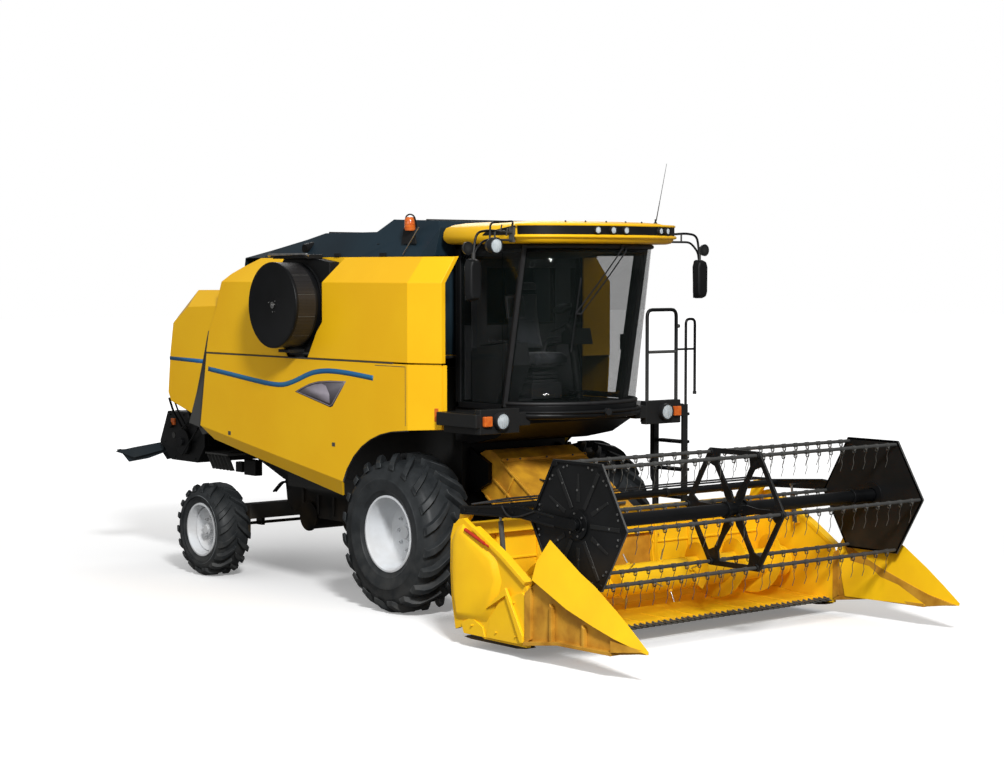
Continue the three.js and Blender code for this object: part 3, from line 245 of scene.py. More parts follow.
# calendered vinyl film laid on the paint: even colour, a soft gloss
blueVinyl = finish("blueVinylStripe", {}, base="#1F5F96", second="#236A92", patch=700, grain=30, relief=0.05,
    rough=(0.3, 0.4), ior=1.5, bump=0.1, slot="yellow_paint")
greyVinyl = finish("darkGreyVinyl", {}, base="#47434A", second="#504C52", patch=500, grain=30, relief=0.05,
    rough=(0.35, 0.5), ior=1.5, bump=0.1, slot="yellow_paint")
paleVinyl = finish("paleGreyVinyl", {}, base="#7D7680", second="#8B858D", patch=200, grain=30, relief=0.05,
    rough=(0.35, 0.5), ior=1.5, bump=0.1, slot="yellow_paint")


# small tools for meshes, all in metres from the front axle
def only(geom, kind):
    return [g for g in geom if isinstance(g, kind)]


def weld(bm, reach=0.001):
    bmesh.ops.remove_doubles(bm, verts=bm.verts, dist=reach)


def facesOut(bm):
    bmesh.ops.recalc_face_normals(bm, faces=bm.faces)


def faceAwayFrom(bm, inside):
    for f in bm.faces:
        f.normal_update()
        if f.normal.dot(f.calc_center_median() - Vector(inside)) < 0:
            f.normal_flip()


def block(bm, low, high):
    size = [b - a for a, b in zip(low, high)]
    middle = [(a + b) / 2 for a, b in zip(low, high)]
    place = Matrix.Translation(middle) @ Matrix.Diagonal((*size, 1))
    return bmesh.ops.create_cube(bm, size=1, matrix=place)["verts"]


def rod(bm, start, end, radius, sides=12, endRadius=None):
    start, end = Vector(start), Vector(end)
    line = end - start
    turn = line.to_track_quat("Z", "Y").to_matrix().to_4x4()
    tip = radius if endRadius is None else endRadius
    return bmesh.ops.create_cone(bm, cap_ends=True, segments=sides, radius1=radius, radius2=tip,
        depth=line.length, matrix=Matrix.Translation((start + end) / 2) @ turn)["verts"]


def pin(bm, x0, x1, y, z, radius, sides=12):
    return rod(bm, (x0, y, z), (x1, y, z), radius, sides)


def slab(bm, outline, low, high, axis="x"):
    low, high = sorted((low, high))

    def spot(u, v, w):
        return {"x": (w, u, v), "y": (u, w, v), "z": (u, v, w)}[axis]
    face = bm.faces.new([bm.verts.new(spot(u, v, low)) for u, v in outline])
    raised = bmesh.ops.extrude_face_region(bm, geom=[face])["geom"]
    verts = only(raised, BMVert)
    bmesh.ops.translate(bm, verts=verts, vec=Vector(spot(0, 0, high)) - Vector(spot(0, 0, low)))
    whole = {v for v in face.verts} | set(verts)
    bmesh.ops.recalc_face_normals(bm, faces=list({f for v in whole for f in v.link_faces}))
    return list(whole)


def circleOf(count, radius, middle, turn=0.0):
    angles = [turn + 2 * pi * k / count for k in range(count)]
    return [(middle[0] + radius * cos(a), middle[1] + radius * sin(a)) for a in angles]


def turned(bm, profile, centre, steps=48, axis=(1, 0, 0)):
    across = Vector(axis)
    up = Vector((0, 0, 1)) if abs(across.z) < 0.9 else Vector((0, 1, 0))
    verts = [bm.verts.new(Vector(centre) + across * a + up * r) for r, a in profile]
    edges = [bm.edges.new((verts[i], verts[(i + 1) % len(verts)])) for i in range(len(verts))]
    bmesh.ops.spin(bm, geom=verts + edges, cent=centre, axis=across, angle=2 * pi, steps=steps, use_merge=True)


def tube(bm, points, radius, sides=8, bend=0.05):
    path = [Vector(p) for p in points]
    route = [path[0]]
    for before, corner, after in zip(path, path[1:], path[2:]):
        a, b = (before - corner), (after - corner)
        cutBack = min(bend, a.length * 0.45, b.length * 0.45)
        start, end = corner + a.normalized() * cutBack, corner + b.normalized() * cutBack
        for k in range(5):
            t = k / 4
            route.append(start * (1 - t) ** 2 + corner * 2 * t * (1 - t) + end * t * t)
    route.append(path[-1])
    heading = (route[1] - route[0]).normalized()
    turn = heading.to_track_quat("Z", "Y").to_matrix().to_4x4()
    ring = bmesh.ops.create_circle(bm, cap_ends=True, segments=sides, radius=radius,
        matrix=Matrix.Translation(route[0]) @ turn)["verts"]
    front = [f for f in bm.faces if set(f.verts) == set(ring)]
    for i in range(1, len(route)):
        toNext = (route[min(i + 1, len(route) - 1)] - route[i - 1]).normalized()
        grown = bmesh.ops.extrude_face_region(bm, geom=front)["geom"]
        verts = only(grown, BMVert)
        if i > 1:
            bmesh.ops.delete(bm, geom=front, context="FACES_ONLY")
        front = only(grown, BMFace)
        bmesh.ops.translate(bm, verts=verts, vec=route[i] - route[i - 1])
        spin = heading.rotation_difference(toNext).to_matrix()
        bmesh.ops.rotate(bm, verts=verts, cent=route[i], matrix=spin)
        heading = toNext


def bothSides(bm):
    copy = bmesh.ops.duplicate(bm, geom=list(bm.verts) + list(bm.edges) + list(bm.faces))["geom"]
    bmesh.ops.scale(bm, verts=only(copy, BMVert), vec=(-1, 1, 1))
    bmesh.ops.reverse_faces(bm, faces=only(copy, BMFace))


def flipSide(bm):
    bmesh.ops.scale(bm, verts=bm.verts, vec=(-1, 1, 1))
    bmesh.ops.reverse_faces(bm, faces=bm.faces)


def copies(bm, verts, moves):
    faces = list({f for v in verts for f in v.link_faces})
    for move in moves:
        geom = bmesh.ops.duplicate(bm, geom=faces)["geom"]
        bmesh.ops.transform(bm, matrix=move, verts=only(geom, BMVert))


def piece(name, bm, material, stands="", body="machine", slot="", bevel=0.0, sharp=38, wall=0.0, segments=2,
        side=1):
    if side < 0:
        flipSide(bm)
    bmesh.ops.translate(bm, verts=bm.verts, vec=(0, axleY, 0))
    data = bpy.data.meshes.new(name)
    bm.to_mesh(data)
    bm.free()
    data.polygons.foreach_set("use_smooth", [True] * len(data.polygons))
    data.set_sharp_from_angle(angle=radians(sharp))
    data.materials.append(material)
    made = bpy.data.objects.new(name, data)
    scene.collection.objects.link(made)
    if wall:
        solid = made.modifiers.new("wall", "SOLIDIFY")
        solid.thickness = wall
        solid.offset = -1
    if bevel:
        edge = made.modifiers.new("edges", "BEVEL")
        edge.width = bevel
        edge.segments = segments
        edge.limit_method = "ANGLE"
        edge.angle_limit = radians(sharp)
        edge.harden_normals = True
    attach(made, body)
    if stands:
        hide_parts(stands)
    return made


def repaint(material, *names):
    for name in names:
        data = nodes[name].data
        data.materials.clear()
        data.materials.append(material)


def between(points, values, at):
    for (a, va), (b, vb) in zip(zip(points, values), zip(points[1:], values[1:])):
        if at <= b:
            return va + (vb - va) * max(0, (at - a)) / (b - a)
    return values[-1]


# wheels: carcass, chevron lugs and dished rims
frontWheel = {"centre": (wheelFront[0], 0, wheelFront[2]), "bead": 0.372, "carcass": 0.725, "crown": 0.8,
    "half": 0.3, "lugs": 20, "lugWidth": 0.085, "sweep": 0.34, "discAt": -0.06, "hub": 0.15, "bolts": 10,
    "boltCircle": 0.2}
rearWheel = {"centre": (wheelRear[0], wheelRear[1] - axleY, wheelRear[2]), "bead": 0.286, "carcass": 0.475,
    "crown": 0.52, "half": 0.2, "lugs": 18, "lugWidth": 0.07, "sweep": 0.3, "discAt": 0.01, "hub": 0.11,
    "bolts": 8, "boltCircle": 0.14}


# one tread lug as a bar cut in five: how far out, how far along and how high each corner is
def lugBlock():
    bm = bmesh.new()
    bmesh.ops.create_cube(bm, size=1)
    across = [e for e in bm.edges if abs(e.verts[0].co.x - e.verts[1].co.x) > 0.5]
    bmesh.ops.subdivide_edges(bm, edges=across, cuts=4, use_grid_fill=True)
    bm.verts.index_update()
    spots = [(v.co.x + 0.5, v.co.y, v.co.z + 0.5) for v in bm.verts]
    faces = [[v.index for v in f.verts] for f in bm.faces]
    bm.free()
    return spots, faces


def tyre(name, wheel, side, body, stands):
    bm = bmesh.new()
    half, bead, crown, carcass = wheel["half"], wheel["bead"], wheel["crown"], wheel["carcass"]
    wall = carcass - bead
    section = [(bead, -0.76 * half), (bead + 0.03, -0.83 * half), (bead + 0.06, -0.87 * half),
        (bead + 0.065, -0.9 * half), (bead + 0.09, -0.91 * half), (bead + 0.45 * wall, -half),
        (bead + 0.52 * wall, -half), (bead + 0.54 * wall, -0.975 * half), (bead + 0.75 * wall, -0.95 * half),
        (carcass - 0.03, -0.86 * half), (carcass, -0.7 * half)]
    profile = section + [(carcass + 0.006, 0)] + [(r, -x) for r, x in reversed(section)]
    profile += [(bead - 0.004, 0.7 * half), (bead - 0.004, -0.7 * half)]
    turned(bm, profile, wheel["centre"], steps=72)
    facesOut(bm)
    cx, cy, cz = wheel["centre"]
    spots, faces = lugBlock()
    for hand in (-1, 1):
        for k in range(wheel["lugs"]):
            base = 2 * pi * (k + (0.5 if hand > 0 else 0)) / wheel["lugs"]
            placed = []
            for s, t, h in spots:
                taper = 1.0 if h < 0.5 else 0.72
                width = wheel["lugWidth"] * (0.85 + 0.5 * s) * taper
                top = crown - (crown - carcass) * max(0, (s - 0.62) / 0.38) ** 1.6 * 1.1
                root = carcass - 0.02 - 0.11 * wall * max(0, (s - 0.7) / 0.3) ** 2
                radius = top if h > 0.5 else root
                angle = base + wheel["sweep"] * s ** 0.85 + t * width / crown
                x = hand * (0.012 + (half * 0.985 - 0.012) * s)
                placed.append(bm.verts.new((cx + x, cy - radius * sin(angle), cz + radius * cos(angle))))
            made = [bm.faces.new([placed[i] for i in face]) for face in faces]
            bmesh.ops.recalc_face_normals(bm, faces=made)
    piece(name, bm, tyreRubber, stands, body=body, bevel=0.006, sharp=42, side=side)


def rim(name, wheel, side, body, stands):
    bm = bmesh.new()
    half, lip, disc, hub = wheel["half"] * 0.78, wheel["bead"], wheel["discAt"], wheel["hub"]
    deep = disc if disc < 0 else disc - 0.02
    profile = [(0.045, deep - 0.012), (lip - 0.05, deep - 0.012), (lip - 0.02, -half),
        (lip + 0.012, -half - 0.012), (lip + 0.016, -half), (lip - 0.004, -half + 0.012), (lip - 0.012, 0),
        (lip - 0.004, half - 0.012), (lip + 0.016, half), (lip + 0.014, half + 0.014),
        (lip - 0.006, half + 0.016), (lip - 0.02, half - 0.005), (lip - 0.028, half * 0.5),
        (lip - 0.04, half * 0.3), (lip - 0.045, disc + 0.07), (lip - 0.07, disc + 0.03),
        (hub + 0.075, disc + 0.012), (hub + 0.02, disc + 0.006), (hub, disc + 0.006),
        (hub - 0.012, disc + 0.03), (hub * 0.62, disc + 0.036), (hub * 0.55, disc + 0.075),
        (0.045, disc + 0.082)]
    turned(bm, profile, wheel["centre"], steps=72)
    facesOut(bm)
    cx, cy, cz = wheel["centre"]
    for y, z in circleOf(wheel["bolts"], wheel["boltCircle"], (cy, cz)):
        pin(bm, cx + disc - 0.005, cx + disc + 0.03, y, z, 0.019, 6)
        pin(bm, cx + disc + 0.02, cx + disc + 0.05, y, z, 0.01, 10)
    valve = lip - 0.05
    rod(bm, (cx + disc + 0.03, cy, cz + valve), (cx + disc + 0.075, cy, cz + valve - 0.01), 0.006, 8)
    pin(bm, cx + disc + 0.075, cx + disc + 0.1, cy, cz, hub * 0.42, 24)
    piece(name, bm, wheelEnamel, stands, body=body, bevel=0.003, sharp=40, side=side)


for word, side in (("left", 1), ("right", -1)):
    tyre("frontTyre_" + word, frontWheel, side, "front_wheel_" + word, "front_tyre_" + word)
    rim("frontRim_" + word, frontWheel, side, "front_wheel_" + word, "front_rim_" + word)
    tyre("rearTyre_" + word, rearWheel, side, "rear_wheel_" + word, "rear_tyre_" + word)
    rim("rearRim_" + word, rearWheel, side, "rear_wheel_" + word, "rear_rim_" + word)
print("wheels made")

# side panels: folded sheet with a stripe and a vent mark laid on
panel = {"side": 1.45, "wall": 0.022, "split": 2.512, "gap": 0.006, "frontFold": -0.34, "frontEdge": -0.69,
    "frontEdgeX": 1.3, "chamferFoot": 3.31, "chamferTop": 3.57, "chamferTopX": 1.25}


def outward(bm, faces, side):
    flip = [f for f in faces if f.normal.x * side < 0]
    bmesh.ops.reverse_faces(bm, faces=flip)


def facet(bm, points):
    face = bm.faces.new([bm.verts.new(p) for p in points])
    face.normal_update()
    return face


panelEdge = {"bevel": 0.014, "sharp": 12, "wall": panel["wall"], "segments": 3}
archRight = [(0.77, 1.27), (0.7, 1.4), (0.58, 1.54), (0.44, 1.65), (0.29, 1.73), (0.12, 1.79), (-0.07, 1.83),
    (-0.34, 1.855)]


def lowerPanel(side, body, stands):
    bm = bmesh.new()
    x, top = side * panel["side"], panel["split"] - panel["gap"]
    rightHand = side < 0
    frontFold = panel["frontFold"] if rightHand else -0.12
    arch = archRight if rightHand else archRight[:-1]
    facet(bm, [(x, y, z) for y, z in [(frontFold, top), (3.4, top), (3.49, 1.97), (3.54, 1.69)] + arch])
    foot = x - side * 0.07
    facet(bm, [(x, 3.54, 1.69), (foot, 3.35, 1.54), (foot, 0.86, 1.11), (x, 0.77, 1.27)])
    if rightHand:
        edge, tip, low = side * panel["frontEdgeX"], panel["frontEdge"], 1.88
        facet(bm, [(x, frontFold, top), (x, frontFold, 1.855), (edge, tip, low), (edge, tip, top)])
        facet(bm, [(edge, tip, top), (edge, tip, low), (edge + 0.06, tip + 0.005, low),
            (edge + 0.06, tip + 0.005, top)])
    outward(bm, bm.faces, side)
    weld(bm)
    piece("lowerPanel_" + ("right" if rightHand else "left"), bm, yellowEnamel, stands, body=body, bevel=0.012,
        sharp=12, wall=panel["wall"], segments=3)
    trim = bmesh.new()
    lip = [(x - side * 0.012, y, z) for y, z in arch]
    tube(trim, lip, 0.011, 6, 0.02)
    hingeX, hingeZ = x - side * 0.002, panel["split"]
    tube(trim, [(hingeX, max(frontFold, -0.1), hingeZ), (hingeX, 3.4, hingeZ)], 0.0075, 8)
    low, high = sorted((x + side * 0.004, x - side * 0.002))
    for y in (0.9, 2.9):
        block(trim, (low, y, 1.62), (high, y + 0.05, 1.66))
    if rightHand:
        block(trim, (x - 0.0012, frontFold + 0.03, 1.9), (x + 0.002, frontFold + 0.036, top - 0.02))
        block(trim, (x - 0.0012, frontFold + 0.03, top - 0.026), (x + 0.002, 0.2, top - 0.02))
    piece("lowerPanelTrim_" + ("right" if rightHand else "left"), trim, blackEnamel, body=body)
    if rightHand:
        mark = bmesh.new()
        share = 0.86  # how far along the front facet
        spot = (x + 0.15 * share, frontFold + (panel["frontEdge"] - frontFold) * share, 2.02)
        bmesh.ops.create_cube(mark, size=1,
            matrix=Matrix.Translation(spot) @ Matrix.Rotation(atan2(-0.37, 0.15), 4,
            "Z") @ Matrix.Diagonal((0.045, 0.008, 0.13, 1)))
        piece("sideReflector", mark, orangeLens, body=body, bevel=0.003)


for side, word in ((-1, "right"), (1, "left")):
    lowerPanel(side, "side_cover_" + word, "lower_side_panel_" + word)

# the stripe: an even band that dips and rises along the panel, drawn by its middle line
stripe = {"half": 0.026, "line": [(3.36, 2.335), (2.9, 2.292), (2.4, 2.243), (2.15, 2.222), (1.95, 2.215),
    (1.8, 2.228), (1.62, 2.272), (1.42, 2.335), (1.27, 2.372), (1.1, 2.392), (0.92, 2.396), (0.7, 2.388),
    (0.45, 2.37), (0.23, 2.352)]}


def band(bm, line, half, side, proud, x):
    smooth = []
    for i in range(len(line) - 1):
        p = [Vector((*line[max(0, min(len(line) - 1, j))], 0)) for j in (i - 1, i, i + 1, i + 2)]
        for k in range(5):
            t = k / 5
            squared = (2 * p[0] - 5 * p[1] + 4 * p[2] - p[3]) * t * t
            cubed = (3 * p[1] - p[0] - 3 * p[2] + p[3]) * t ** 3
            smooth.append(0.5 * (2 * p[1] + (p[2] - p[0]) * t + squared + cubed))
    smooth.append(Vector((*line[-1], 0)))
    ring = []
    for i, point in enumerate(smooth):
        along = (smooth[min(i + 1, len(smooth) - 1)] - smooth[max(i - 1, 0)]).normalized()
        ring.append((point, Vector((-along.y, along.x, 0))))
    p, n = ring[0]
    edge = bm.edges.new([bm.verts.new((x, (p + n * h).x, (p + n * h).y)) for h in (half, -half)])
    for (p, n), (q, m) in zip(ring, ring[1:]):
        grown = bmesh.ops.extrude_edge_only(bm, edges=[edge])["geom"]
        for v in only(grown, BMVert):
            upper = (Vector((v.co.y, v.co.z, 0)) - p).dot(n) > 0
            spot = q + m * (half if upper else -half)
            v.co = (x, spot.x, spot.y)
        edge = only(grown, BMEdge)[0]
    for f in bm.faces:
        f.normal_update()
    outward(bm, bm.faces, side)
    bmesh.ops.translate(bm, verts=bm.verts, vec=(side * proud, 0, 0))


for side, word in ((-1, "right"), (1, "left")):
    bm = bmesh.new()
    band(bm, stripe["line"], stripe["half"], side, 0.0016, side * panel["side"])
    piece("stripe_" + word, bm, blueVinyl, body="side_cover_" + word, wall=0.001)
    bm = bmesh.new()
    x = side * (panel["side"] + 0.0012)
    mark = [(1.63, 2.155), (1.5, 2.205), (1.36, 2.25), (1.2, 2.282), (0.98, 2.297), (0.7, 2.302), (0.94, 2.035),
        (0.98, 2.02)]
    facet(bm, [(x, y, z) for y, z in mark])
    outward(bm, bm.faces, side)
    piece("ventMark_" + word, bm, greyVinyl, body="side_cover_" + word, wall=0.001)
    bm = bmesh.new()
    x = side * (panel["side"] + 0.0022)
    inner = [(1.56, 2.158), (1.4, 2.215), (1.27, 2.245), (1.14, 2.26), (1.06, 2.24), (1.0, 2.16), (0.99, 2.06),
        (1.3, 2.12)]
    facet(bm, [(x, y, z) for y, z in inner])
    outward(bm, bm.faces, side)
    piece("ventMarkCentre_" + word, bm, paleVinyl, body="side_cover_" + word, wall=0.001)
    bm = bmesh.new()
    x = side * (panel["side"] + 0.003)
    near = [(1.12 + (y - 1.12) * 0.93, 2.18 + (z - 2.18) * 0.9) for y, z in mark]
    tube(bm, [(x, y, z) for y, z in near + [near[0]]], 0.0045, 6, 0.02)
    piece("ventMarkEdge_" + word, bm, paleVinyl, body="side_cover_" + word)
print("lower panels made")


def upperPanelRight():
    bm = bmesh.new()
    x = -panel["side"]
    topX, foot, fold = -panel["chamferTopX"], panel["split"] + 0.009, panel["frontFold"]
    low, high = panel["chamferFoot"], panel["chamferTop"]
    frontY, frontX = panel["frontEdge"], -panel["frontEdgeX"]
    frontTopX = -1.13
    wall = [(fold, foot), (1.4, foot), (1.235, 2.79), (1.13, 2.9), (1.13, low), (fold, low)]
    facet(bm, [(x, y, z) for y, z in wall])
    rear = [(1.78, foot), (3.405, foot), (3.35, 2.74), (3.19, 3.02), (3.14, 3.16), (3.09, 3.28), (3.075, low),
        (2.07, low), (2.07, 2.9), (1.95, 2.78)]
    facet(bm, [(x, y, z) for y, z in rear])
    facet(bm, [(x, fold, low), (x, 1.13, low), (topX, 0.985, high), (topX, fold, high)])
    facet(bm, [(x, 2.07, low), (x, 3.075, low), (-1.36, 3.0, 3.4), (-1.3, 2.86, 3.47), (topX, 2.58, high),
        (topX, 2.14, high)])
    facet(bm, [(x, fold, foot), (x, fold, low), (frontX, frontY, low), (frontX, frontY, foot)])
    facet(bm, [(x, fold, low), (topX, fold, high), (frontTopX, frontY, high), (frontX, frontY, low)])
    inX = frontX + 0.06
    facet(bm, [(frontX, frontY, foot), (frontX, frontY, low), (inX, frontY + 0.005, low),
        (inX, frontY + 0.005, foot)])
    facet(bm, [(frontX, frontY, low), (frontTopX, frontY, high), (frontTopX + 0.06, frontY + 0.005, high),
        (inX, frontY + 0.005, low)])
    faceAwayFrom(bm, (0, 1.4, 2.6))
    weld(bm)
    piece("upperPanel_right", bm, yellowEnamel, "upper_side_panel_right", **panelEdge)


def upperPanelLeft():
    bm = bmesh.new()
    x, topX = panel["side"], panel["chamferTopX"]
    foot, low, high, frontY = panel["split"] + 0.009, panel["chamferFoot"], panel["chamferTop"], -0.12
    wall = [(frontY, foot), (3.405, foot), (3.35, 2.74), (3.19, 3.02), (3.14, 3.16), (3.09, 3.28), (3.075, low),
        (0.6, low), (0.6, 3.29), (0.3, 3.29), (0.3, low), (frontY, low)]
    facet(bm, [(x, y, z) for y, z in wall])
    facet(bm, [(x, frontY, low), (x, 0.3, low), (topX, 0.3, high), (topX, frontY, high)])
    facet(bm, [(x, 0.6, low), (x, 3.075, low), (1.36, 3.0, 3.4), (1.3, 2.86, 3.47), (topX, 2.58, high),
        (topX, 0.6, high)])
    facet(bm, [(x, frontY, foot), (x, frontY, low), (topX, frontY, high), (1.06, frontY, high),
        (1.06, frontY, foot)])
    faceAwayFrom(bm, (0, 1.4, 2.6))
    weld(bm)
    piece("upperPanel_left", bm, yellowEnamel, "upper_side_panel_left", **panelEdge)


upperPanelRight()
upperPanelLeft()

# rear hood over the straw walkers: rounded top, darker foot facet, a stripe at each side
hood = {"half": 1.4, "edge": [(3.215, 3.21), (3.95, 3.21), (4.09, 3.07), (4.2, 2.83), (4.27, 2.48),
    (4.32, 2.03), (4.26, 1.93)]}


def rearHood():
    bm = bmesh.new()
    side = [(3.215, 3.04)] + hood["edge"] + [(3.76, 1.8), (3.64, 1.96), (3.44, 2.56), (3.375, 2.76)]
    slab(bm, side, -hood["half"], hood["half"])
    under = [f for f in bm.faces if f.calc_center_median().z < 1.88]
    ahead = [f for f in bm.faces if f.calc_center_median().y < 3.6 and abs(f.normal.x) < 0.5
        and f.normal.z < 0.5]
    bmesh.ops.delete(bm, geom=list(set(under + ahead)), context="FACES")
    top = []
    for e in bm.edges:
        a, b = e.verts[0].co, e.verts[1].co
        if e.is_manifold and abs(a.x - b.x) < 0.01 and min(a.z, b.z) > 2.9 and e.calc_face_angle(0) > 1.2:
            top.append(e)
    bmesh.ops.bevel(bm, geom=top, offset=0.19, segments=1, profile=0.5, affect="EDGES", material=-1)
    weld(bm, 0.0005)
    piece("rearHood", bm, yellowEnamel, "rear_hood", bevel=0.014, sharp=12, wall=0.02, segments=3)
    bm = bmesh.new()
    for side in (-1, 1):
        x = side * (hood["half"] + 0.0014)
        face = facet(bm, [(x, 4.278, 2.405), (x, 4.281, 2.445), (x, 3.5, 2.432), (x, 3.515, 2.385)])
        outward(bm, [face], side)
    piece("hoodStripe", bm, blueVinyl, wall=0.001)
    # the open joint ahead of the hood shows the dark frame behind it
    bm = bmesh.new()
    for side in (-1, 1):
        slab(bm, [(3.42, 2.76), (3.44, 2.745), (3.56, 2.4), (3.69, 2.06), (3.86, 1.7), (3.62, 1.66),
            (3.42, 2.36)], side * 1.36, side * 1.4015)
        slab(bm, [(3.4, 2.4), (3.52, 2.4), (3.62, 1.96), (3.8, 1.78), (3.6, 1.58), (3.42, 1.62)], side * 1.3,
            side * 1.385)
    piece("hoodJoint", bm, blackEnamel)
    bm = bmesh.new()
    block(bm, (-1.37, 3.96, 2.15), (1.37, 4.0, 2.24))
    for x in (-1.35, -0.6, 0.6, 1.35):
        block(bm, (x - 0.02, 3.92, 1.75), (x + 0.02, 3.955, 2.9))
    block(bm, (-0.5, 3.9, 2.16), (0.5, 3.965, 2.23))
    piece("hoodFrame", bm, blackEnamel, bevel=0.004)


rearHood()
print("upper panels and hood made")

# rotary dust screen: pressed face, perforated rim, rubbing bands and the duct behind it
screen = {"y": 1.6, "z": 3.07, "radius": 0.45, "outer": -1.75, "inner": -1.505}
perforated = finish("perforatedZincSheet", {}, base="#242223", second="#1C1A1B", patch=400, grain=2, relief=0.2,
    rough=(0.45, 0.6), metallic=0.2, worn="#6E6A68", wear=0.4, slot="steel")
tree = perforated.node_tree
shader = tree.nodes["Principled BSDF"]
place = addNode(tree, "TexCoord").outputs["Object"]
# punched holes every 9 mm, drawn at 15 mm so that they still show from the camera
holes = addNode(tree, "TexVoronoi", {"Scale": 66.0, "Randomness": 0.0}, Vector=place)
openings = addNode(tree, "MapRange", {"From Min": 0.32, "From Max": 0.4}, i0=holes.outputs["Distance"])
painted = shader.inputs["Base Color"].links[0].from_socket
shade = addNode(tree, "Mix", {"data_type": "RGBA", 6: hexLinear("#0C0B0B")}, i0=openings.outputs[0])
tree.links.new(painted, shade.inputs[7])
tree.links.new(shade.outputs[2], shader.inputs["Base Color"])


def dustScreen():
    r, out, back = screen["radius"], screen["outer"], screen["inner"]
    centre = (0, screen["y"], screen["z"])
    bm = bmesh.new()
    turned(bm, [(0.02, out + 0.014), (0.02, out + 0.004), (0.12, out + 0.004), (0.15, out), (r - 0.055, out),
        (r - 0.035, out - 0.006), (r - 0.004, out - 0.006), (r, out), (r, out + 0.03), (r - 0.006, out + 0.032),
        (r - 0.014, out + 0.03), (r - 0.014, out + 0.014)], centre, 64)
    for x in (back, back + 0.07):
        turned(bm, [(r - 0.01, x), (r, x), (r, x + 0.02), (r - 0.01, x + 0.02)], centre, 64)
    pin(bm, out, out + 0.25, screen["y"], screen["z"], 0.03, 16)
    for y, z in circleOf(12, r - 0.007, centre[1:], pi / 12):
        pin(bm, out + 0.02, back, y, z, 0.005, 6)
    facesOut(bm)
    piece("dustScreenFace", bm, blackEnamel, "dust_screen_drum", body="dust_screen", bevel=0.003)
    bm = bmesh.new()
    turned(bm, [(r - 0.004, out + 0.03), (r - 0.004, back), (r - 0.012, back), (r - 0.012, out + 0.03)], centre,
        72)
    piece("dustScreenMesh", bm, perforated, body="dust_screen")
    bm = bmesh.new()
    pin(bm, out - 0.012, out + 0.01, screen["y"], screen["z"], 0.016, 6)
    turned(bm, [(0.012, out - 0.004), (0.035, out - 0.004), (0.035, out + 0.006), (0.012, out + 0.006)], centre,
        20)
    for y, z in circleOf(3, 0.07, centre[1:], 0.4):
        pin(bm, out - 0.006, out + 0.008, y, z, 0.008, 6)
    piece("dustScreenHub", bm, brightSteel, body="dust_screen", bevel=0.001)
    bm = bmesh.new()
    turned(bm, [(0.032, -1.38), (r - 0.03, -1.38), (r - 0.03, back + 0.006), (0.032, back + 0.006)], centre, 48)
    block(bm, (-1.392, 1.3, 2.572), (-1.21, 1.9, 3.3))
    block(bm, (-1.62, 1.49, 2.574), (-1.42, 1.69, 2.606))
    slab(bm, [(1.14, 3.31), (1.14, 3.52), (1.4, 3.555), (2.0, 3.555), (2.05, 3.5), (2.05, 3.31)], -1.34, -1.22)
    slab(bm, [(1.42, 3.555), (1.42, 3.6), (1.98, 3.6), (2.02, 3.555)], -1.47, -1.23)
    piece("dustScreenDuct", bm, blackEnamel, "dust_screen_housing", bevel=0.006)
    bm = bmesh.new()
    tube(bm, [(-1.47, 1.34, 3.585), (-1.5, 1.34, 3.6), (-1.5, 2.05, 3.6), (-1.46, 2.09, 3.585)], 0.013, 8)
    piece("dustScreenGuard", bm, brightSteel)


dustScreen()

# grain tank cover: folded dark sheet with a raised front, a beacon and a small motor
cover = {"half": 1.2, "top": 3.83, "eaves": 3.572}


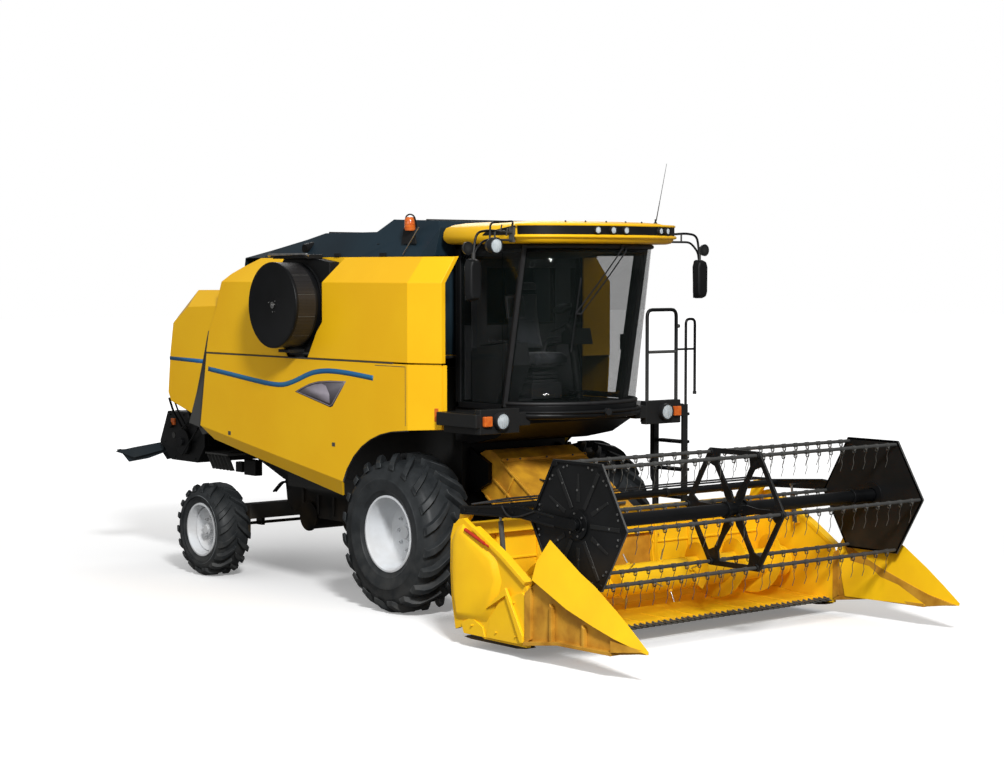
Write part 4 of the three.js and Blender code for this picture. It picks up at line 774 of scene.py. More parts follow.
def tankCover():
    bm = bmesh.new()
    # one fold line after another: y, ridge height, half width of the top
    half, top, eaves = cover["half"], cover["top"], cover["eaves"]
    folds = [(2.97, 3.59, 1.12), (2.6, 3.66, 1.06), (2.01, 3.765, 1.02), (1.73, top, 0.98), (0.8, top, 0.98)]
    for (y0, top0, half0), (y1, top1, half1) in zip(folds, folds[1:]):
        facet(bm, [(-half0, y0, top0), (half0, y0, top0), (half1, y1, top1), (-half1, y1, top1)])
        for s in (-1, 1):
            facet(bm, [(s * half0, y0, top0), (s * half1, y1, top1), (s * half, y1, eaves),
                (s * half, y0, eaves)])
    facet(bm, [(-1.12, 2.97, 3.59), (1.12, 2.97, 3.59), (1.16, 3.09, 3.29), (-1.16, 3.09, 3.29)])
    facet(bm, [(-1.16, 3.09, 3.29), (1.16, 3.09, 3.29), (1.16, 3.18, 3.04), (-1.16, 3.18, 3.04)])
    for s in (-1, 1):
        facet(bm, [(s * half, 2.97, eaves), (s * 1.12, 2.97, 3.59), (s * 1.16, 3.09, 3.29)])
    raised = [(0.8, top, 0.98), (0.56, 3.955, 0.94), (-0.18, 3.93, 0.94), (-0.23, 3.86, 0.95),
        (-0.205, 3.58, 1.0)]
    for (y0, z0, h0), (y1, z1, h1) in zip(raised, raised[1:]):
        facet(bm, [(-h0, y0, z0), (h0, y0, z0), (h1, y1, z1), (-h1, y1, z1)])
    for s in (-1, 1):
        facet(bm, [(s * h, y, z) for y, z, h in raised] + [(s * half, -0.2, eaves), (s * half, 0.8, eaves)])
    faceAwayFrom(bm, (0, 1.3, 2.9))
    weld(bm, 0.002)
    piece("tankCover", bm, slateEnamel, "tank_cover", bevel=0.008, sharp=9, wall=0.008)
    bm = bmesh.new()
    # hinges, lift handles, seams and the level sensor's motor along the near edge
    for y in (0.35, 1.15, 2.35):
        block(bm, (-1.215, y, 3.575), (-1.19, y + 0.09, 3.61))
        block(bm, (1.19, y, 3.575), (1.215, y + 0.09, 3.61))
    for y in (0.02, 0.8, 1.73):
        z = between([-0.2, 0.56, 0.8, 1.8], [3.93, 3.955, 3.833, 3.833], y)
        block(bm, (-0.93, y - 0.009, z - 0.01), (0.93, y + 0.009, z + 0.012))
    tube(bm, [(-1.02, 0.24, 3.7), (-1.045, 0.24, 3.7), (-1.11, 0.62, 3.7), (-1.085, 0.62, 3.7)], 0.007, 6)
    rod(bm, (-1.16, 1.86, 3.66), (-0.98, 1.86, 3.7), 0.055, 20)
    block(bm, (-1.12, 1.8, 3.6), (-1.02, 1.92, 3.66))
    slab(bm, [(-0.06, 3.7), (-0.02, 3.86), (0.14, 3.86), (0.18, 3.7)], -1.13, -1.115)
    tube(bm, [(-1.12, 0.1, 3.86), (-1.14, 0.1, 3.97), (-1.14, 0.02, 4.0), (-1.14, -0.06, 3.97),
        (-1.12, -0.06, 3.86)], 0.008, 6)
    piece("tankCoverFittings", bm, blackEnamel, bevel=0.002)
    bm = bmesh.new()
    turned(bm, [(0.002, 0.0), (0.05, 0.0), (0.058, 0.02), (0.056, 0.11), (0.04, 0.135), (0.002, 0.14)],
        (-1.14, 0.02, 3.83), 24, (0, 0, 1))
    for z in (3.86, 3.89, 3.92):
        turned(bm, [(0.054, z - 3.83), (0.061, z - 3.826), (0.054, z - 3.822)], (-1.14, 0.02, 3.83), 24,
            (0, 0, 1))
    facesOut(bm)
    piece("beacon", bm, orangeLens)
    bm = bmesh.new()
    tube(bm, [(-1.19, -0.19, 3.86), (-1.21, 0.05, 3.59)], 0.006, 6)
    piece("coverStay", bm, brightSteel)
    bm = bmesh.new()
    block(bm, (-1.2, -0.094, 2.5703), (1.2, 2.15, 3.569))
    turned(bm, [(0.002, 2.57), (0.13, 2.57), (0.13, 2.62), (0.122, 2.63), (0.122, 3.45), (0.145, 3.46),
        (0.145, 3.4995), (0.002, 3.4995)], (1.42, 0.45, 0), 32, (0, 0, 1))
    for x, y in circleOf(8, 0.134, (1.42, 0.45)):
        rod(bm, (x, y, 3.44), (x, y, 3.475), 0.008, 6)
    block(bm, (1.1, 0.36, 2.571), (1.42, 0.54, 2.8))
    piece("grainTank", bm, yellowEnamel, "grain_tank", bevel=0.008)
    # dark sheet over the front of the tank, seen through the cab's rear window
    bm = bmesh.new()
    block(bm, (-1.19, -0.104, 2.58), (1.05, -0.0945, 3.56))
    for x in (-0.8, -0.4, 0.0, 0.4, 0.8):
        block(bm, (x - 0.02, -0.118, 2.62), (x + 0.02, -0.1, 3.55))
    piece("tankFrontSheet", bm, slateEnamel, bevel=0.004)


tankCover()


def unloaderTube():
    bm = bmesh.new()
    turned(bm, [(0.002, 3.5005), (0.145, 3.5005), (0.145, 3.54), (0.125, 3.55), (0.125, 3.66), (0.002, 3.7)],
        (1.42, 0.45, 0), 32, (0, 0, 1))
    start, end = Vector((1.42, 0.36, 3.7)), Vector((1.56, 4.0, 3.7))
    rod(bm, start, end, 0.148, 40)
    for share in (0.02, 0.48, 0.52, 0.97):
        middle = start.lerp(end, share)
        rod(bm, middle, middle + (end - start).normalized() * 0.018, 0.162, 40)
    joint = start.lerp(end, 0.49)
    for x, z in circleOf(12, 0.153, (joint.x, joint.z)):
        rod(bm, (x, joint.y, z), (x, joint.y + 0.11, z), 0.007, 6)
    piece("unloaderTube", bm, yellowEnamel, "unloader_tube", body="unloader", bevel=0.003)
    bm = bmesh.new()
    slab(bm, [(3.83, 3.76), (4.04, 3.76), (4.085, 3.62), (4.075, 3.5), (3.98, 3.46), (3.8, 3.53), (3.78, 3.62)],
        1.44, 1.68)
    for y in (3.86, 3.95, 4.03):
        block(bm, (1.432, y, 3.5), (1.688, y + 0.012, 3.72))
    piece("unloaderSpout", bm, hoseRubber, body="unloader", slot="black_paint", bevel=0.014)


unloaderTube()
print("tank, cover, dust screen and unloader made")

# cab: black deck and shell, bowed glass, moulded roof with a lamp band
cabin = {"half": 0.8, "rear": -0.28, "floor": 2.06, "roof": 3.69, "frontFoot": -1.05, "frontHead": -1.36,
    "bowFoot": 0.54, "bowHead": 0.4}


def pillarY(z):
    share = (z - cabin["floor"]) / (cabin["roof"] - cabin["floor"])
    return cabin["frontFoot"] + share * (cabin["frontHead"] - cabin["frontFoot"])


def bowAt(turn, z, outward=0.0):
    share = (z - cabin["floor"]) / (cabin["roof"] - cabin["floor"])
    bow = cabin["bowFoot"] + share * (cabin["bowHead"] - cabin["bowFoot"])
    x = (cabin["half"] - 0.002 + outward * 0.6) * sin(turn)
    return x, pillarY(z) - 0.002 - (bow + outward) * cos(turn)


def bowLine(z, outward=0.0, steps=20):
    return [bowAt(-pi / 2 + pi * k / steps, z, outward) for k in range(steps + 1)]


def cabDeck():
    bm = bmesh.new()
    top = cabin["floor"] - 0.0003
    slab(bm, [(-1.18, 1.93), (-1.18, top), (-0.2503, top), (-0.2503, 1.72), (-0.5, 1.7), (-0.9, 1.78)], -0.78,
        0.78)
    block(bm, (-1.38, -1.33, 1.93), (-0.7, -0.71, top))
    block(bm, (0.7, -1.33, 1.93), (1.38, -0.14, top))
    for side in (-1, 1):
        low, high = sorted((side * 0.84, side * 1.33))
        block(bm, (low, -1.332, 1.865), (high, -1.25, 2.105))
        block(bm, (low + 0.02, -1.25, 1.88), (high - 0.02, -1.22, 2.09))
    for x in (-0.9, -1.1, -1.3):
        block(bm, (x - 0.02, -1.3, 1.86), (x + 0.02, -0.75, 1.93))
    bow = bowLine(cabin["floor"] + 0.03, 0.02)
    slab(bm, [(x, y) for x, y in bow] + [(0.78, -1.0), (-0.78, -1.0)], 2.0, 2.118, "z")
    tube(bm, [(x * 1.01, y - 0.015, 2.02) for x, y in bow], 0.034, 10, 0.02)
    piece("cabDeck", bm, blackEnamel, "cab_base", bevel=0.008)
    bm = bmesh.new()
    tube(bm, [(x, y - 0.05, 2.055) for x, y in bow[1:-1]], 0.016, 10, 0.02)
    rod(bm, (0, bowAt(0, 2.09, 0.07)[1] - 0.03, 2.05), (0, bowAt(0, 2.09, 0.07)[1] + 0.01, 2.05), 0.036, 20)
    piece("cabBumperRail", bm, blackPlastic)
    bm = bmesh.new()
    tube(bm, [(0.88, -1.3, 2.04), (0.88, -1.3, 3.03), (1.29, -1.3, 3.03), (1.29, -1.3, 2.04)], 0.019, 10, 0.07)
    pin(bm, 0.88, 1.29, -1.3, 2.6, 0.016, 10)
    for x in (0.88, 1.29):
        block(bm, (x - 0.03, -1.33, 2.055), (x + 0.03, -1.27, 2.075))
    pin(bm, 1.29, 1.33, -1.3, 2.86, 0.02, 10)
    piece("handrailFront", bm, blackEnamel)


def lampSet(name, centre, radius, toward=(0, -1, 0)):
    bm = bmesh.new()
    axis = Vector(toward).normalized()
    turned(bm, [(0.002, 0.0), (radius * 0.55, 0.012), (radius * 0.85, 0.032), (radius, 0.05), (radius, 0.0),
        (radius * 0.5, -0.01)], centre, 28, axis)
    facesOut(bm)
    piece(name + "Bowl", bm, mirrorGlass)
    bm = bmesh.new()
    turned(bm, [(0.002, 0.058), (radius * 0.6, 0.055), (radius * 0.96, 0.045), (radius * 0.96, 0.038),
        (0.002, 0.046)], centre, 28, axis)
    for k in range(5):
        offset = (k - 2) * radius * 0.32
        across = axis.cross(Vector((0, 0, 1))).normalized() * offset
        spread = sqrt(max(0.0, (radius * 0.88) ** 2 - offset ** 2))
        middle = Vector(centre) + axis * 0.055 + across
        rod(bm, middle - Vector((0, 0, spread)), middle + Vector((0, 0, spread)), 0.0035, 6)
    facesOut(bm)
    piece(name + "Lens", bm, clearGlass)
    bm = bmesh.new()
    turned(bm, [(radius * 0.97, 0.03), (radius * 0.97, 0.06), (radius * 1.1, 0.055), (radius * 1.12, 0.0),
        (radius * 1.0, 0.0)], centre, 28, axis)
    facesOut(bm)
    piece(name + "Bezel", bm, blackPlastic)


cabDeck()
for side, word in ((-1, "right"), (1, "left")):
    lampSet("headlamp_" + word, (side * 1.09, -1.335, 1.99), 0.078)
    bm = bmesh.new()
    low, high = sorted((side * 1.205, side * 1.305))
    block(bm, (low, -1.375, 1.94), (high, -1.33, 2.04))
    piece("indicator_" + word, bm, orangeLens, bevel=0.012, segments=3)


def cabShell():
    bm = bmesh.new()
    half, rear, deck, head = cabin["half"], cabin["rear"], cabin["floor"], cabin["roof"]
    block(bm, (-half, rear - 0.05, deck), (half, rear, 2.9))
    block(bm, (-half, rear - 0.05, 3.5), (half, rear, head))
    for side in (-1, 1):
        low, high = sorted((side * half, side * 0.45))
        block(bm, (low, rear - 0.05, 2.9), (high, rear, 3.5))
        low, high = sorted((side * half, side * (half - 0.05)))
        slab(bm, [(pillarY(deck), deck), (pillarY(deck) + 0.055, deck), (pillarY(head) + 0.055, head),
            (pillarY(head), head)], low, high)
        slab(bm, [(pillarY(deck) + 0.02, deck), (rear, deck), (rear, deck + 0.06),
            (pillarY(deck) + 0.02, deck + 0.06)], low, high)
        slab(bm, [(pillarY(head), head), (rear, head), (rear, head - 0.05),
            (pillarY(head) + 0.02, head - 0.05)], low, high)
        block(bm, (low, rear - 0.08, deck), (high, rear - 0.02, head))
    block(bm, (-half + 0.01, -1.05, deck), (half - 0.01, rear, deck + 0.06))
    bow = bowLine(deck + 0.03)
    slab(bm, [(x * 0.99, y + 0.006) for x, y in bow] + [(0.78, -1.0), (-0.78, -1.0)], deck, deck + 0.0598, "z")
    bowTop = bowLine(head - 0.03)
    slab(bm, [(x * 0.985, y + 0.012) for x, y in bowTop] + [(0.78, -0.34), (-0.78, -0.34)], head - 0.045,
        head - 0.001, "z")
    piece("cabShell", bm, blackPlastic, "cab_shell", slot="black_paint", bevel=0.006)
    bm = bmesh.new()
    block(bm, (-0.74, -0.36, 2.13), (0.74, -0.333, 2.88))
    block(bm, (-0.74, -0.36, 3.46), (0.74, -0.333, 3.63))
    for x in (-0.56, 0.56):
        block(bm, (x - 0.1, -0.372, 2.2), (x + 0.1, -0.355, 3.5))
    slab(bm, [(-0.34, 3.62), (-0.34, 3.55), (-0.8, 3.6), (-1.45, 3.61), (-1.45, 3.64), (-0.34, 3.64)], -0.72,
        0.72)
    piece("cabLining", bm, greyPlastic, bevel=0.012, segments=3)


cabShell()


def windscreen():
    bm = bmesh.new()
    heights = [cabin["floor"] + 0.0603, 2.35, 2.7, 3.05, 3.4, cabin["roof"] - 0.004]
    steps = 32
    row = [bm.verts.new((*spot, heights[0])) for spot in bowLine(heights[0], steps=steps)]
    edges = [bm.edges.new(pair) for pair in zip(row, row[1:])]
    for z in heights[1:]:
        grown = bmesh.ops.extrude_edge_only(bm, edges=edges)["geom"]
        verts = sorted(only(grown, BMVert), key=lambda v: v.co.x)
        for v, spot in zip(verts, bowLine(z, steps=steps)):
            v.co = (*spot, z)
        edges = only(grown, BMEdge)
    faceAwayFrom(bm, (0, -0.6, 2.9))
    piece("windscreen", bm, cabGlass, "windscreen", wall=0.006)
    bm = bmesh.new()
    for z, radius in ((cabin["floor"] + 0.075, 0.02), (cabin["roof"] - 0.025, 0.022)):
        tube(bm, [(x, y, z) for x, y in bowLine(z, 0.004, 24)], radius, 8, 0.02)
    for side in (-1, 1):
        tube(bm, [(side * 0.797, pillarY(z) - 0.004, z) for z in (2.1, 2.9, 3.68)], 0.026, 8, 0.02)
    piece("screenSeal", bm, hoseRubber)


windscreen()
bm = bmesh.new()
block(bm, (-0.785, -1.0, 2.121), (-0.777, -0.341, 3.639))
slab(bm, [(-1.0, 2.121), (-1.279, 3.639), (-1.0, 3.639)], -0.785, -0.777)
piece("sideWindowRight", bm, cabGlass, "side_window_right")


def cabDoor():
    gap = 0.006
    low, high = cabin["floor"] + 0.06 + gap, cabin["roof"] - 0.05 - gap
    outer = [(pillarY(low) + 0.066, low), (pillarY(high) + 0.066, high), (-0.346, high), (-0.346, low)]
    inner = [(pillarY(low + 0.055) + 0.121, low + 0.055), (pillarY(high - 0.055) + 0.121, high - 0.055),
        (-0.401, high - 0.055), (-0.401, low + 0.055)]
    bm = bmesh.new()
    for (a, b), (c, d) in zip(zip(outer, outer[1:] + outer[:1]), zip(inner, inner[1:] + inner[:1])):
        slab(bm, [a, b, d, c], 0.762, 0.798)
    weld(bm, 0.0005)
    for z in (2.3, 3.4):
        rod(bm, (0.8085, -0.335, z), (0.8085, -0.335, z + 0.09), 0.008, 10)
        block(bm, (0.797, -0.385, z + 0.01), (0.809, -0.335, z + 0.08))
    block(bm, (0.797, -1.06, 2.62), (0.815, -0.98, 2.78))
    tube(bm, [(0.8, -1.03, 2.64), (0.835, -1.03, 2.65), (0.835, -1.03, 2.75), (0.8, -1.03, 2.76)], 0.008, 8,
        0.02)
    piece("cabDoor", bm, blackPlastic, "cab_door", body="door", slot="black_paint", bevel=0.003)
    bm = bmesh.new()
    slab(bm, inner, 0.776, 0.783)
    piece("cabDoorGlass", bm, cabGlass, "cab_door_glass", body="door")


cabDoor()


def cabRoof():
    bm = bmesh.new()

    def ring(z, inset, front=0.0, steps=24):
        half = 0.99 - inset
        nose = -1.9 + inset - front
        arc = [(half * cos(pi * k / steps), -1.43 + (nose + 1.43) * sin(pi * k / steps) ** 0.8,
            z) for k in range(steps + 1)]
        return [(half - 0.06, -0.25 - inset, z), (half, -0.33 - inset, z)] + arc + [(-half, -0.33 - inset, z),
            (-half + 0.06, -0.25 - inset, z)]

    levels = [(3.6905, 0.075), (3.7, 0.03), (3.735, 0.004), (3.765, 0.0), (3.81, 0.004), (3.85, 0.02),
        (3.88, 0.075), (3.898, 0.16), (3.909, 0.32), (3.912, 0.5)]
    loops = [[bm.verts.new(p) for p in ring(z, inset)] for z, inset in levels]
    for a in loops:
        for i in range(len(a)):
            bm.edges.new((a[i], a[(i + 1) % len(a)]))
    bm.edges.ensure_lookup_table()
    for a, b in zip(loops, loops[1:]):
        ea = [bm.edges.get((a[i], a[(i + 1) % len(a)])) for i in range(len(a))]
        eb = [bm.edges.get((b[i], b[(i + 1) % len(b)])) for i in range(len(b))]
        bmesh.ops.bridge_loops(bm, edges=ea + eb)
    bm.faces.new(loops[0])
    bm.faces.new(loops[-1])
    facesOut(bm)
    piece("cabRoof", bm, yellowEnamel, "cab_roof", sharp=50)


cabRoof()


def noseAt(turn, outward):
    x = (0.99 + outward) * cos(turn)
    return x, -1.43 + (-1.9 - outward + 1.43) * abs(sin(turn)) ** 0.8


def lampBand():
    bm = bmesh.new()
    outer = [noseAt(radians(-4 - 172 * k / 30), 0.006) for k in range(31)]
    inner = [(x * 0.985, y + 0.03) for x, y in outer]
    slab(bm, outer + inner[::-1], 3.772, 3.862, "z")
    for side in (-1, 1):
        slab(bm, [(-1.43, 3.772), (-1.43, 3.862), (-0.99, 3.8), (-0.95, 3.772)], side * 0.972, side * 0.9985)
    facesOut(bm)
    piece("lampBand", bm, blackPlastic, bevel=0.004)
    bm = bmesh.new()
    for proud, z, radius in ((0.012, 3.758, 0.016), (0.004, 3.868, 0.012)):
        tube(bm, [(*noseAt(radians(-2 - 176 * k / 30), proud), z) for k in range(31)], radius, 8, 0.02)
    piece("roofLips", bm, yellowEnamel)
    for k, place in enumerate((-0.34, -0.16, 0.0, 0.5, 0.62)):
        x, y = noseAt(-acos(place / 0.99), 0.004)
        forward = Vector((place * 0.35, -1, 0)).normalized()
        lampSet("roofLamp_%d" % k, (x, y + 0.02, 3.817), 0.034 if place < 0.4 else 0.03, forward)
    bm = bmesh.new()
    for turn in (-60, -78, -96, -114, -132):
        x, y = noseAt(radians(turn), -0.16)
        turned(bm, [(0.001, -0.004), (0.01, -0.004), (0.008, 0.01), (0.001, 0.014)], (x, y, 3.898), 12,
            (0, 0, 1))
    facesOut(bm)
    piece("roofPlugs", bm, blackPlastic)
    bm = bmesh.new()
    turned(bm, [(0.001, 0.0), (0.022, 0.0), (0.018, 0.03), (0.009, 0.045), (0.009, 0.07), (0.001, 0.07)],
        (0.8, -1.5, 3.875), 16, (0, 0, 1))
    rod(bm, (0.8, -1.51, 3.93), (0.8, -1.56, 4.12), 0.0055, 8, 0.004)
    rod(bm, (0.8, -1.56, 4.12), (0.8, -1.658, 4.495), 0.0036, 6, 0.002)
    facesOut(bm)
    piece("aerial", bm, blackPlastic)


lampBand()
print("cab made")

# in the cab: steering wheel, console, screen and seat
def cabInside():
    deck = cabin["floor"] + 0.0603
    bm = bmesh.new()
    block(bm, (-0.08, -1.33, deck), (0.08, -1.17, deck + 0.05))
    tube(bm, [(0, -1.25, deck + 0.03), (0, -1.2, 2.45), (0, -1.115, 2.86)], 0.042, 12)
    turned(bm, [(0.195 + 0.015 * cos(a), 0.013 * sin(a)) for a in [2 * pi * k / 10 for k in range(10)]],
        (0, -1.085, 2.9), 40, (0, 0.48, 0.88))
    rod(bm, (0, -1.105, 2.855), (0, -1.082, 2.905), 0.045, 20)
    for turn in (0, 120, 240):
        angle = radians(turn)
        away = Vector((cos(angle), sin(angle) * 0.88, -sin(angle) * 0.48)) * 0.192
        rod(bm, (0, -1.088, 2.895), Vector((0, -1.085, 2.9)) + away, 0.011, 8)
    slab(bm, [(-1.3, 2.7), (-1.26, 2.86), (-1.14, 2.82), (-1.14, 2.7)], -0.14, 0.14)
    for x in (-0.09, -0.03, 0.03, 0.09):
        block(bm, (x - 0.02, -1.29, deck + 0.1), (x + 0.02, -1.22, deck + 0.12))
    facesOut(bm)
    piece("steeringColumn", bm, blackPlastic, "steering_column", slot="grey_plastic", bevel=0.003)
    bm = bmesh.new()
    block(bm, (-0.2, -0.76, deck), (0.2, -0.42, 2.3))
    for z in (2.3, 2.34, 2.38, 2.42):
        block(bm, (-0.17, -0.74, z), (0.17, -0.44, z + 0.03))
    block(bm, (-0.22, -0.8, 2.455), (0.22, -0.41, 2.48))
    slab(bm, [(-1.0, 2.5), (-0.96, 2.72), (-0.5, 2.66), (-0.42, 2.66), (-0.42, deck), (-0.8, deck)], -0.7,
        -0.42)
    block(bm, (-0.6, -0.76, deck), (0.2, -0.42, deck + 0.025))
    slab(bm, [(-0.9, 2.72), (-0.88, 2.745), (-0.5, 2.7), (-0.5, 2.68)], -0.66, -0.46)
    rod(bm, (-0.52, -0.82, 2.72), (-0.5, -0.86, 2.86), 0.016, 12, 0.013)
    turned(bm, [(0.001, -0.05), (0.022, -0.045), (0.032, -0.01), (0.03, 0.035), (0.001, 0.05)],
        (-0.5, -0.87, 2.89), 20, (0, -0.25, 1))
    for k in range(6):
        x, y = -0.63 + 0.05 * (k % 2), -0.8 + 0.1 * (k // 2)
        rod(bm, (x, y, 2.7), (x, y, 2.745), 0.011, 10)
    slab(bm, [(-1.02, 2.96), (-0.99, 3.18), (-0.955, 3.18), (-0.985, 2.96)], -0.72, -0.5)
    rod(bm, (-0.61, -0.95, 2.7), (-0.61, -0.98, 2.98), 0.014, 10)
    tube(bm, [(0.24, -0.42, 2.56), (0.3, -0.42, 2.72), (0.3, -0.74, 2.74)], 0.028, 10)
    facesOut(bm)
    piece("seatPlinth", bm, greyPlastic, "seat_plinth", bevel=0.006)
    bm = bmesh.new()
    slab(bm, [(-1.022, 2.975), (-0.995, 3.165), (-0.993, 3.165), (-1.02, 2.975)], -0.71, -0.51)
    piece("monitorGlass", bm, cabGlass)


cabInside()

# woven moquette: two greys, threads about 2 mm apart, drawn at 6 mm so that the weave shows
seatCloth = finish("wovenMoquette", {}, base="#3A3C41", second="#44464C", patch=90, grain=5, relief=0.8,
    rough=(0.85, 0.95), sheen=0.35, bump=0.6, slot="seat_cloth")
tree = seatCloth.node_tree
place = addNode(tree, "TexCoord").outputs["Object"]
threads = addNode(tree, "TexWave", {"Scale": 52.0, "Distortion": 0.4, "bands_direction": "X"}, Vector=place)
picks = addNode(tree, "TexWave", {"Scale": 52.0, "Distortion": 0.4, "bands_direction": "DIAGONAL"},
    Vector=place)
weave = addNode(tree, "Math", {"operation": "MULTIPLY"}, i0=threads.outputs["Fac"], i1=picks.outputs["Fac"])
woven = addNode(tree, "Bump", {"Strength": 0.5, "Distance": 0.001}, Height=weave.outputs[0])
shader = tree.nodes["Principled BSDF"]
tree.links.new(shader.inputs["Normal"].links[0].from_socket, woven.inputs["Normal"])
tree.links.new(woven.outputs[0], shader.inputs["Normal"])

seat = {"cushion": ((-0.25, -0.88, 2.4803), (0.25, -0.4, 2.6)), "voxel": 0.006, "swell": 0.022, "pressure": 4.0,
    "frames": 20,
    "seamHalf": 0.018}


def stuffed(name, shape, stands, seamAt):
    bmesh.ops.subdivide_edges(shape, edges=shape.edges, cuts=6, use_grid_fill=True)
    made = piece(name, shape, seatCloth, stands)
    made.modifiers.clear()
    bpy.context.view_layer.objects.active = made
    remesh = made.modifiers.new("voxels", "REMESH")
    remesh.mode = "VOXEL"
    remesh.voxel_size = seat["voxel"] * 2
    bpy.ops.object.modifier_apply(modifier="voxels")
    start = [v.co.copy() for v in made.data.vertices]
    cloth = made.modifiers.new("cloth", "CLOTH")
    cloth.settings.use_pressure = True
    cloth.settings.uniform_pressure_force = seat["pressure"]
    cloth.settings.effector_weights.gravity = 0
    cloth.settings.quality = 4
    scene.frame_start, scene.frame_end = 1, seat["frames"]
    cloth.point_cache.frame_start, cloth.point_cache.frame_end = 1, seat["frames"]
    for step in range(1, seat["frames"] + 1):
        scene.frame_set(step)
    bpy.context.view_layer.update()
    bpy.ops.object.modifier_apply(modifier="cloth")
    scene.frame_set(1)
    for v, rest in zip(made.data.vertices, start):
        move = v.co - rest
        if move.length > seat["swell"]:
            v.co = rest + move.normalized() * seat["swell"]
        for axis, line, depth in seamAt:
            near = abs(v.co[axis] - line)
            if near < seat["seamHalf"]:
                sunk = depth * (1 - near / seat["seamHalf"]) ** 2
                v.co.z -= sunk if axis != 2 else 0
                v.co.y += sunk if axis == 2 else 0
    smooth = made.modifiers.new("soft", "SUBSURF")
    smooth.levels = smooth.render_levels = 1
    made.data.polygons.foreach_set("use_smooth", [True] * len(made.data.polygons))


low, high = seat["cushion"]
bm = bmesh.new()
slab(bm, [(low[1] + 0.035, low[2] + 0.014), (low[1] + 0.02, high[2] - 0.05), (low[1] + 0.06, high[2] - 0.018),
    (high[1] - 0.02, high[2] - 0.02), (high[1] - 0.02, low[2] + 0.014)], low[0] + 0.02, high[0] - 0.02)
stuffed("seatCushion", bm, "seat", [(0, -0.14, 0.008), (0, 0.14, 0.008)])
bm = bmesh.new()
slab(bm, [(-0.47, 2.62), (-0.385, 3.06), (-0.378, 3.21), (-0.358, 3.21), (-0.352, 3.06), (-0.385, 2.62)], -0.21,
    0.21)
stuffed("seatBack", bm, "", [(0, -0.12, 0.0), (2, 2.92, -0.006)])
bm = bmesh.new()
slab(bm, [(-0.47, 3.235), (-0.45, 3.3), (-0.4, 3.32), (-0.375, 3.24)], -0.12, 0.12)
piece("headRest", bm, seatCloth, bevel=0.02, segments=3)
bm = bmesh.new()
for side in (-1, 1):
    rod(bm, (side * 0.06, -0.4, 3.19), (side * 0.06, -0.41, 3.26), 0.008, 10)
    tube(bm, [(side * 0.25, -0.48, 2.56), (side * 0.275, -0.44, 2.66), (side * 0.275, -0.74, 2.7)], 0.014, 8)
piece("seatFrame", bm, blackPlastic)
print("cab fitted out")


# mirrors, wipers, hand rails and ladder
def mirrorSet(side, word):
    bm = bmesh.new()
    tube(bm, [(0.998, -1.42, 3.79), (1.3, -1.43, 3.81), (1.455, -1.43, 3.79), (1.49, -1.43, 3.6)], 0.012, 10,
        0.07)
    tube(bm, [(0.998, -1.42, 3.72), (1.36, -1.43, 3.72), (1.47, -1.43, 3.62), (1.485, -1.43, 3.52)], 0.011, 10,
        0.06)
    rod(bm, (1.23, -1.43, 3.72), (1.23, -1.43, 3.805), 0.009, 8)
    block(bm, (0.9903, -1.445, 3.7), (1.015, -1.38, 3.845))
    rod(bm, (1.49, -1.43, 3.6), (1.49, -1.43, 3.5), 0.018, 12)
    tube(bm, [(1.49, -1.425, 3.6), (1.53, -1.425, 3.66), (1.56, -1.42, 3.64)], 0.009, 8)
    turned(bm, [(0.001, -0.035), (0.035, -0.03), (0.058, -0.005), (0.062, 0.02), (0.056, 0.022),
        (0.001, 0.018)], (1.56, -1.42, 3.64), 24, (0, -1, 0))
    facesOut(bm)
    piece("mirrorArm_" + word, bm, blackEnamel, "mirror_" + word, side=side)
    bm = bmesh.new()
    slab(bm, [(1.43, 3.14), (1.56, 3.14), (1.585, 3.2), (1.588, 3.48), (1.56, 3.545), (1.43, 3.545),
        (1.408, 3.48), (1.41, 3.2)], -1.445, -1.405, "y")
    for v in bm.verts:
        if v.co.y < -1.43:
            v.co.x = 1.498 + (v.co.x - 1.498) * 0.7
            v.co.z = 3.34 + (v.co.z - 3.34) * 0.88
            v.co.y = -1.488
    facesOut(bm)
    piece("mirrorShell_" + word, bm, blackPlastic, bevel=0.02, sharp=25, segments=4, side=side)
    bm = bmesh.new()
    slab(bm, [(1.43, 3.15), (1.565, 3.15), (1.575, 3.47), (1.55, 3.53), (1.44, 3.53), (1.42, 3.47)], -1.4045,
        -1.402, "y")
    piece("mirrorGlass_" + word, bm, mirrorGlass, side=side)


for word, side in (("left", 1), ("right", -1)):
    mirrorSet(side, word)
lampSet("workLamp", (-1.3, -1.49, 3.665), 0.07)
bm = bmesh.new()
rod(bm, (-1.3, -1.44, 3.665), (-1.3, -1.49, 3.665), 0.062, 20, 0.076)
rod(bm, (-1.3, -1.44, 3.6), (-1.3, -1.43, 3.73), 0.01, 8)
tube(bm, [(-1.02, -1.43, 3.84), (-1.02, -1.45, 3.9), (-1.3, -1.45, 3.88), (-1.3, -1.44, 3.73)], 0.01, 8, 0.04)
for x, z in ((-1.16, 3.865), (-1.09, 3.83)):
    rod(bm, (x, -1.45, z), (x, -1.43, z - 0.07), 0.007, 8)
piece("workLampBracket", bm, blackEnamel)


